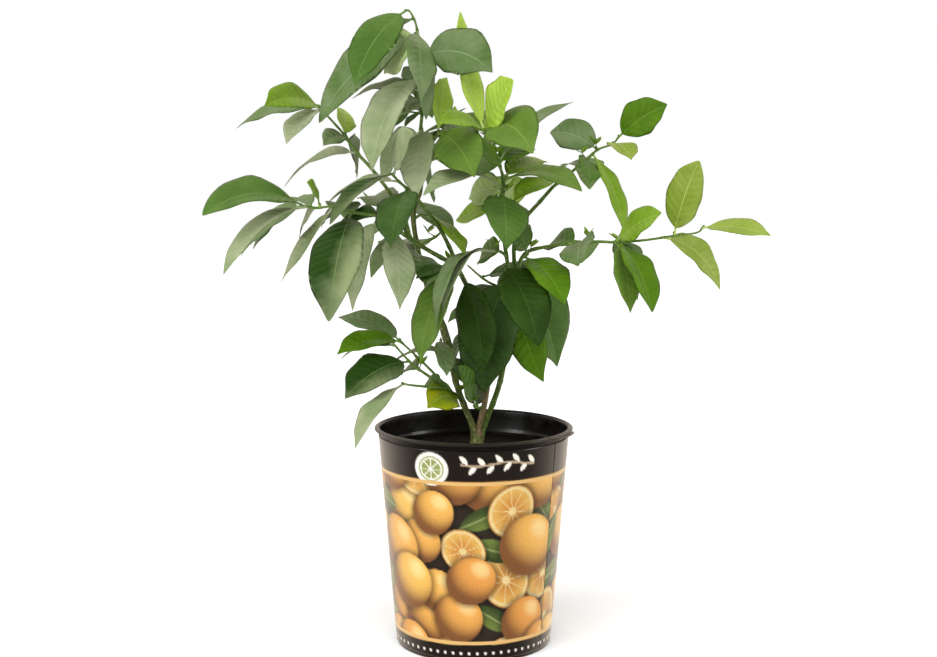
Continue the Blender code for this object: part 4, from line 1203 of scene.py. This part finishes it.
def leaf_finish(name, colour, other, vein, roughness, gloss, cloud, sheen_half=0):
    """A leaf's face: two tones that run into one another in clouds of a given size in millimetres, and
    thin paler side veins that slant forward. A sided leaf has more of the second, paler tone on its
    one
    half and towards its tip: a painted sheen, as where one half of a fold catches the light."""
    finish, tree, shader = new_finish(name, colour, roughness, Specular_IOR_Level=gloss)
    place = add_node(tree, "TexCoord").outputs["Object"]
    clouds = add_node(tree, "TexNoise", place, Scale=1000 / cloud, Detail=3)
    sheet = add_node(tree, "UVMap", uv_map="surface_mm")
    parts = add_node(tree, "SeparateXYZ", sheet).outputs
    # For a sided leaf the second tone gains towards the tip and on one half: a painted sheen
    tipward = add_node(tree, "Math", parts["X"], 0.006 * sheen_half, clouds, operation="MULTIPLY_ADD")
    half = add_node(tree, "Math", parts["Y"], -0.02 * sheen_half, tipward, operation="MULTIPLY_ADD")
    part = add_node(tree, "MapRange", half, 0.38 + 0.36 * sheen_half, 0.64 + 0.7 * sheen_half)
    tint = add_node(tree, "Mix", Factor=part, A=linear(colour), B=linear(other), data_type="RGBA")
    off = add_node(tree, "Math", parts["Y"], operation="ABSOLUTE")
    slant = add_node(tree, "Math", off, VEIN_SLANT, parts["X"], operation="MULTIPLY_ADD")
    crumple = add_node(tree, "TexNoise", sheet, Scale=1 / 5, Detail=2)
    bent = add_node(tree, "Math", crumple, CRUMPLE, slant, operation="MULTIPLY_ADD")
    veins = add_node(tree, "Math", bent, VEIN_STEP / 2, operation="PINGPONG")
    on_vein = add_node(tree, "MapRange", veins, 0.15, 0.6, 0.09, 0.0)
    veined = add_node(tree, "Mix", Factor=on_vein, A=tint, B=linear(vein), data_type="RGBA")
    height = add_node(tree, "Math", crumple, CRUMPLE, veins, operation="MULTIPLY_ADD")
    relief = add_node(tree, "Bump", Height=height, Strength=0.4, Distance=0.0003)
    feed(shader, Base_Color=veined, Normal=relief)
    return finish


# Each tone: its two face colours, the cloud size in millimetres, its underside and its midrib
# The grey, silver and sheen tones paint into the face colour the sheen that glossy leaves take from
# the light, and the glow and pale tones paint light shining through thin leaves from behind
TONES = {
    "deep": ("#1f3606", "#2b460e", 25, "#3a4f22", "#36521e"),
    "dark": ("#304a1b", "#3e5a26", 25, "#5c763c", "#4e6c30"),
    "green": ("#426220", "#50702c", 25, "#728c4c", "#668844"),
    "fresh": ("#436702", "#507605", 25, "#6c8c2c", "#6a9024"),
    "sheen": ("#1f3c08", "#7e8a60", 30, "#7c8e5c", "#647a44"),
    "grey": ("#506a34", "#6c7f54", 35, "#809264", "#82966a"),
    "silver": ("#76895a", "#98a07c", 35, "#949e7a", "#9ea883"),
    "olive": ("#506e22", "#5e7a2e", 25, "#7c8c40", "#7e9040"),
    "young": ("#678816", "#77962c", 25, "#8caa4a", "#90b044"),
    "lime": ("#7a902e", "#8a9c42", 25, "#a4be6c", "#b0c468"),
    "glow": ("#98b838", "#a6c44c", 25, "#a4c05c", "#b8cc78"),
    "pale": ("#a8be76", "#b6ca86", 25, "#b0c088", "#c4d09c"),
    "turning": ("#6e8a08", "#969c08", 18, "#98a040", "#a8ae4c"),
}
FACE, UNDERSIDE_OF_LEAF, MIDRIB = range(3)  # the three finishes of a tone
LEAF_FINISHES = []
for tone, (face, other, cloud, under, midrib) in TONES.items():
    # Only the sheen tone paints its sheen more on one half of each leaf
    sheen_half = 1 if tone == "sheen" else 0
    LEAF_FINISHES += [
        leaf_finish("waxy_leaf_" + tone, face, other, midrib, 0.4, 0.22, cloud, sheen_half),
        leaf_finish("leaf_underside_" + tone, under, under, midrib, 0.65, 0.15, cloud),
        leaf_finish("leaf_midrib_" + tone, midrib, midrib, midrib, 0.5, 0.2, cloud),
    ]
FIRST_FINISH = {tone: 3 * i for i, tone in enumerate(TONES)}
print("leaf finishes:", len(LEAF_FINISHES))

# %% [markdown]
# ## Buds and young shoots
# A bud sits in the angle above every leaf, and here and there one has opened into a short shoot with
# three new leaves. Both are hardly seen on their own, but they roughen the twigs' outline as on the
# real tree. A bud is a short tube that tapers to a point, and a new leaf is a tube of six flat rings,
# since it is only a few pixels long.

# %% Buds and young shoots
SHOOT_CHANCE = 0.3
SHOOT_LEAVES = 3
SHOOT_LENGTHS = (5, 10)
BUD_LENGTHS = (2.6, 4.2)
NEW_LEAF_LENGTHS = (8, 14)
NEW_LEAF_RINGS = 6
NEW_LEAF_SIDES = 6


def bud(root, axis, size):
    """A pointed bud: radius is a half sine of the way along, drawn in at the tip."""
    t = np.linspace(0, 1, 6)
    path = root + unit(axis) * (t * size)[:, None]
    radius = size * 0.34 * np.sin(math.pi * (0.12 + 0.86 * t)) ** 0.9
    return tube_arrays(*round_tube(path, radius, 7))


def leaflet(root, heading, rise, length):
    """A new leaf of a few faces: its half width is a sine of the way along, and its section is a flat
    ring that is folded up a little at its edges."""
    ahead, _, face = leaf_axes(heading, rise, 0)
    t = np.linspace(0.06, 0.94, NEW_LEAF_RINGS)[:, None, None]
    half = length * 0.21 * np.sin(math.pi * t ** 0.85)
    turn = (math.tau * np.arange(NEW_LEAF_SIDES) / NEW_LEAF_SIDES)[None, :, None]
    across = half * np.cos(turn)
    height = 0.3 * np.sin(turn) + 0.25 * half * np.cos(turn) ** 2
    rings = root + ahead * length * t + np.cross(ahead, face) * across + face * height
    places = np.stack(np.broadcast_arrays((t * length)[..., 0], across[..., 0]), axis=-1)
    points = np.vstack([rings.reshape(-1, 3), root, root + ahead * length])
    places = np.vstack([places.reshape(-1, 2), np.zeros((2, 2))])
    return points, places, *tube_corners(NEW_LEAF_RINGS, NEW_LEAF_SIDES)


def young_shoot(rng, row, root):
    """A shoot from a leaf's joint: a thin stalk that rises beside the leaf, and its new leaves."""
    ahead, lift, _ = leaf_axes(row[1], row[2], row[5])
    across = np.cross(ahead, lift) * rng.choice([-1, 1])
    reach = rng.uniform(*SHOOT_LENGTHS)
    tip = root + unit(lift + ahead * 0.4 + across * 0.6) * reach
    stalk = tube_arrays(*round_tube(np.linspace(root, tip, 4), np.linspace(0.6, 0.4, 4), 7))
    new_leaves = []
    for i in range(SHOOT_LEAVES):
        heading = row[1] + 360 / SHOOT_LEAVES * i + rng.uniform(20, 60)
        new_leaves.append(leaflet(tip, heading, rng.uniform(25, 60), rng.uniform(*NEW_LEAF_LENGTHS)))
    return stalk, new_leaves


WOODY_PARTS = {name: [] for name in SPRAYS}
NEW_LEAVES = {name: [] for name in SPRAYS}
for name, spray in SPRAYS.items():
    rng = random.Random(name)
    for path, found in spray:
        for row, root, _ in found:
            ahead, lift, _ = leaf_axes(row[1], row[2], row[5])
            WOODY_PARTS[name].append(bud(root + ahead * 0.8, ahead * 0.55 + lift,
                                         rng.uniform(*BUD_LENGTHS)))
            if row[0] < 0.8 * distances(path)[-1] and rng.random() < SHOOT_CHANCE:
                stalk, new_leaves = young_shoot(rng, row, root)
                WOODY_PARTS[name].append(stalk)
                NEW_LEAVES[name] += new_leaves
print("new leaves:", sum(len(leaves) for leaves in NEW_LEAVES.values()))

# %% [markdown]
# ## The leaves
# A lemon leaf is a pointed oval folded lightly along its midrib, with edges that curl down again and
# wave a little. An image cut to shape would show its flatness from the side, so each leaf is a real
# thin body. It is worked out for all leaves of a mass at once: one array axis for the leaf, one for
# the way along it and one for the way round its section. There are fewer than two hundred leaves and
# each is a hundred pixels long, so each gets some hundreds of faces.

# %% Shape of a leaf
STALK_END = 0.1  # the share of a leaf that is stalk
STALK_RADIUS = 0.95
BLADE_HALF_THICKNESS = 0.22
BLADE_RINGS = (1 - np.cos(math.pi * np.linspace(0.05, 0.975, 22))) / 2
RINGS = np.concatenate([[0.0, 0.035, 0.07, STALK_END], STALK_END + (1 - STALK_END) * BLADE_RINGS])
UPPER = np.array([-1, -0.85, -0.64, -0.4, -0.17, -0.018, 0.018, 0.17, 0.4, 0.64, 0.85, 1])
# A section goes across the upper face, then back across the underside
SECTION = np.concatenate([UPPER, UPPER[-2:0:-1]])
FACING = np.concatenate([np.ones(len(UPPER)), -np.ones(len(UPPER) - 2)])
TWIST = 0.22  # radians either way over a leaf's length
FOLDS = (0.22, 0.38)  # how far an edge is folded up, as a share of the half width
CURL = 0.13  # how far it turns down again
WAVE = 0.075
RIPPLE = 0.035  # how far its outline strays, as a share of the half width


def blade_half_width(along, fullness, drawn_out):
    """Half width as a share of the widest: a sine of the way along to the power 0.88, which puts the
    widest place a little before the middle. A lower fullness makes the sides rounder, and the last
    quarter narrows by a further share, which draws the tip out."""
    t = np.clip((along - STALK_END) / (1 - STALK_END), 0, 1)
    return np.sin(math.pi * t ** 0.88) ** fullness * (1 - drawn_out * smooth_step(0.76, 1.0, t))


def leaf_arrays(rows, roots, seed):
    """Points, UV places and corners of a mass's leaves, numbered leaf by leaf. A point lies off its
    midrib sideways by a share of the half width, and up by the fold less the curl of its edge, plus
    waves, plus or minus half the leaf's thickness."""
    rng = np.random.default_rng(seed)
    count = len(rows)

    def each(low, high):
        """One draw for each leaf."""
        return rng.uniform(low, high, (count, 1, 1, 1))

    u = RINGS[None, :, None, None]
    v = SECTION[None, None, :, None]
    midrib, up, side, length, width = blade_frame(rows, roots, u, 2)
    twist = each(-TWIST, TWIST) * (u - 0.4)
    up, side = up * np.cos(twist) + side * np.sin(twist), side * np.cos(twist) - up * np.sin(twist)
    ripple = 1 + RIPPLE * np.sin(u * each(16, 24) + 2 * v + each(0, 6))
    blade = blade_half_width(u, each(0.60, 0.80), each(0.1, 0.6))
    stalk = STALK_RADIUS * (1 - smooth_step(0.1, 0.25, u))
    half = np.sqrt((blade * width / 2 * ripple) ** 2 + stalk ** 2)
    waves = np.sin(u * each(9, 17) + 1.3 * np.sign(v) + each(0, 6))
    on_blade = smooth_step(0.08, 0.2, u)
    fold = each(*FOLDS) * np.sqrt(v ** 2 + 0.004)
    height = half * on_blade * (fold - CURL * v ** 4 + WAVE * waves * v ** 2)
    thickness = BLADE_HALF_THICKNESS + 0.7 * (1 - on_blade)
    height = height + FACING[None, None, :, None] * thickness * np.sqrt(1 - v ** 2)
    rings = midrib + side * half * v + up * height
    tips = roots + (leaf_axes(*rows[:, [1, 2, 5]].T)[0] * length[:, 0, 0])
    points = np.concatenate([rings.reshape(count, -1, 3), np.stack([roots, tips], axis=1)], axis=1)
    uv = np.stack(np.broadcast_arrays((u * length)[..., 0], (half * v)[..., 0]), axis=-1)
    uv = np.concatenate([uv.reshape(count, -1, 2), np.zeros((count, 2, 2))], axis=1)
    first = (np.arange(count) * points.shape[1])[:, None, None]
    quads, ends = (corners[None] + first for corners in tube_corners(len(RINGS), len(SECTION)))
    return points.reshape(-1, 3), uv.reshape(-1, 2), quads.reshape(-1, 4), ends.reshape(-1, 3)


print("rings:", len(RINGS), "corners of a section:", len(SECTION))

# %% Leaves of each mass
MIDRIB_END = 0.93


def face_kinds():
    """Which finish of its tone each quad and each end face of a leaf takes."""
    ring, side = np.divmod(np.arange((len(RINGS) - 1) * len(SECTION)), len(SECTION))
    upper = np.arange(len(SECTION)) < len(UPPER) - 1
    kinds = np.where(upper, FACE, UNDERSIDE_OF_LEAF)
    tip = kinds.copy()
    kinds = kinds[side]
    middle = (side == len(UPPER) // 2 - 1) | (side == len(UPPER) + 4)
    kinds[middle & (RINGS[ring] < MIDRIB_END)] = MIDRIB
    kinds[RINGS[ring + 1] <= STALK_END + 0.001] = MIDRIB
    return kinds, np.concatenate([np.full(len(SECTION), MIDRIB), tip])


def leaves_piece(name, found, new_leaves, seed):
    """All leaves of a mass in one mesh, with only the finishes that it uses."""
    rows, roots, tones = zip(*found)
    leaves = leaf_arrays(np.array(rows), np.array(roots), seed)
    first = np.array([FIRST_FINISH[tone] for tone in tones])[:, None]
    numbers = []
    for part, kinds in zip((2, 3), face_kinds()):
        numbers.append((first + kinds).ravel())
        numbers += [np.full(len(leaf[part]), FIRST_FINISH["young"]) for leaf in new_leaves]
    used, finish_of = np.unique(np.concatenate(numbers), return_inverse=True)
    points, uv, quads, ends = joined_tubes([leaves, *new_leaves])
    return new_piece(name, points, quads, ends, [LEAF_FINISHES[i] for i in used], finish_of, uv)


leaf_faces = 0
for seed, (name, spray) in enumerate(SPRAYS.items()):
    found = [leaf for _, leaves in spray for leaf in leaves]
    piece = leaves_piece(name.replace("_foliage", "_leaves"), found, NEW_LEAVES[name], seed)
    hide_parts(name)
    leaf_faces += len(piece.data.polygons)
print("leaf faces:", leaf_faces)

# %% [markdown]
# ## The twigs
# This year's twigs are green, slightly three-cornered, and swell where each leaf joins. Each twig is
# a tube along the frame's own path, its radius swelling at the leaves' places. The buds and the
# stalks of the shoots join its mesh.

# %% Twigs, buds and stalks
TWIG_RADIUS = 1.5
TWIG_TIP_RADIUS = 0.8
LEAF_JOINT = (0.3, 1.8)  # how much a twig swells at a leaf, and over what length
twig_finish = bark_finish("green_twig_skin", "#4a6824", "#68843a", "#8ea058")


def twig_tube(path, joints):
    """A green twig: radius falls evenly to its tip and swells at each leaf."""
    curve = smooth_path(path, 3)
    way = distances(curve)
    end = way[-1]
    radius = TWIG_RADIUS + (TWIG_TIP_RADIUS - TWIG_RADIUS) * way / end
    narrowing = 1 - 0.6 * smooth_step(end - 2.5, end, way)
    radius = radius * joints_swell(way, joints, *LEAF_JOINT) * narrowing
    return tube_arrays(*round_tube(curve, radius, 10, 0.07, 0.01))


for name, spray in SPRAYS.items():
    twigs = [twig_tube(path, [row[0] for row, _, _ in found]) for path, found in spray]
    points, places, quads, ends = joined_tubes(twigs + WOODY_PARTS[name])
    title = name.replace("_foliage", "_twigs")
    piece = new_piece(title, points, quads, ends, [twig_finish], uv=places)
    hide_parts(name)
print("twigs of", len(SPRAYS), "masses")
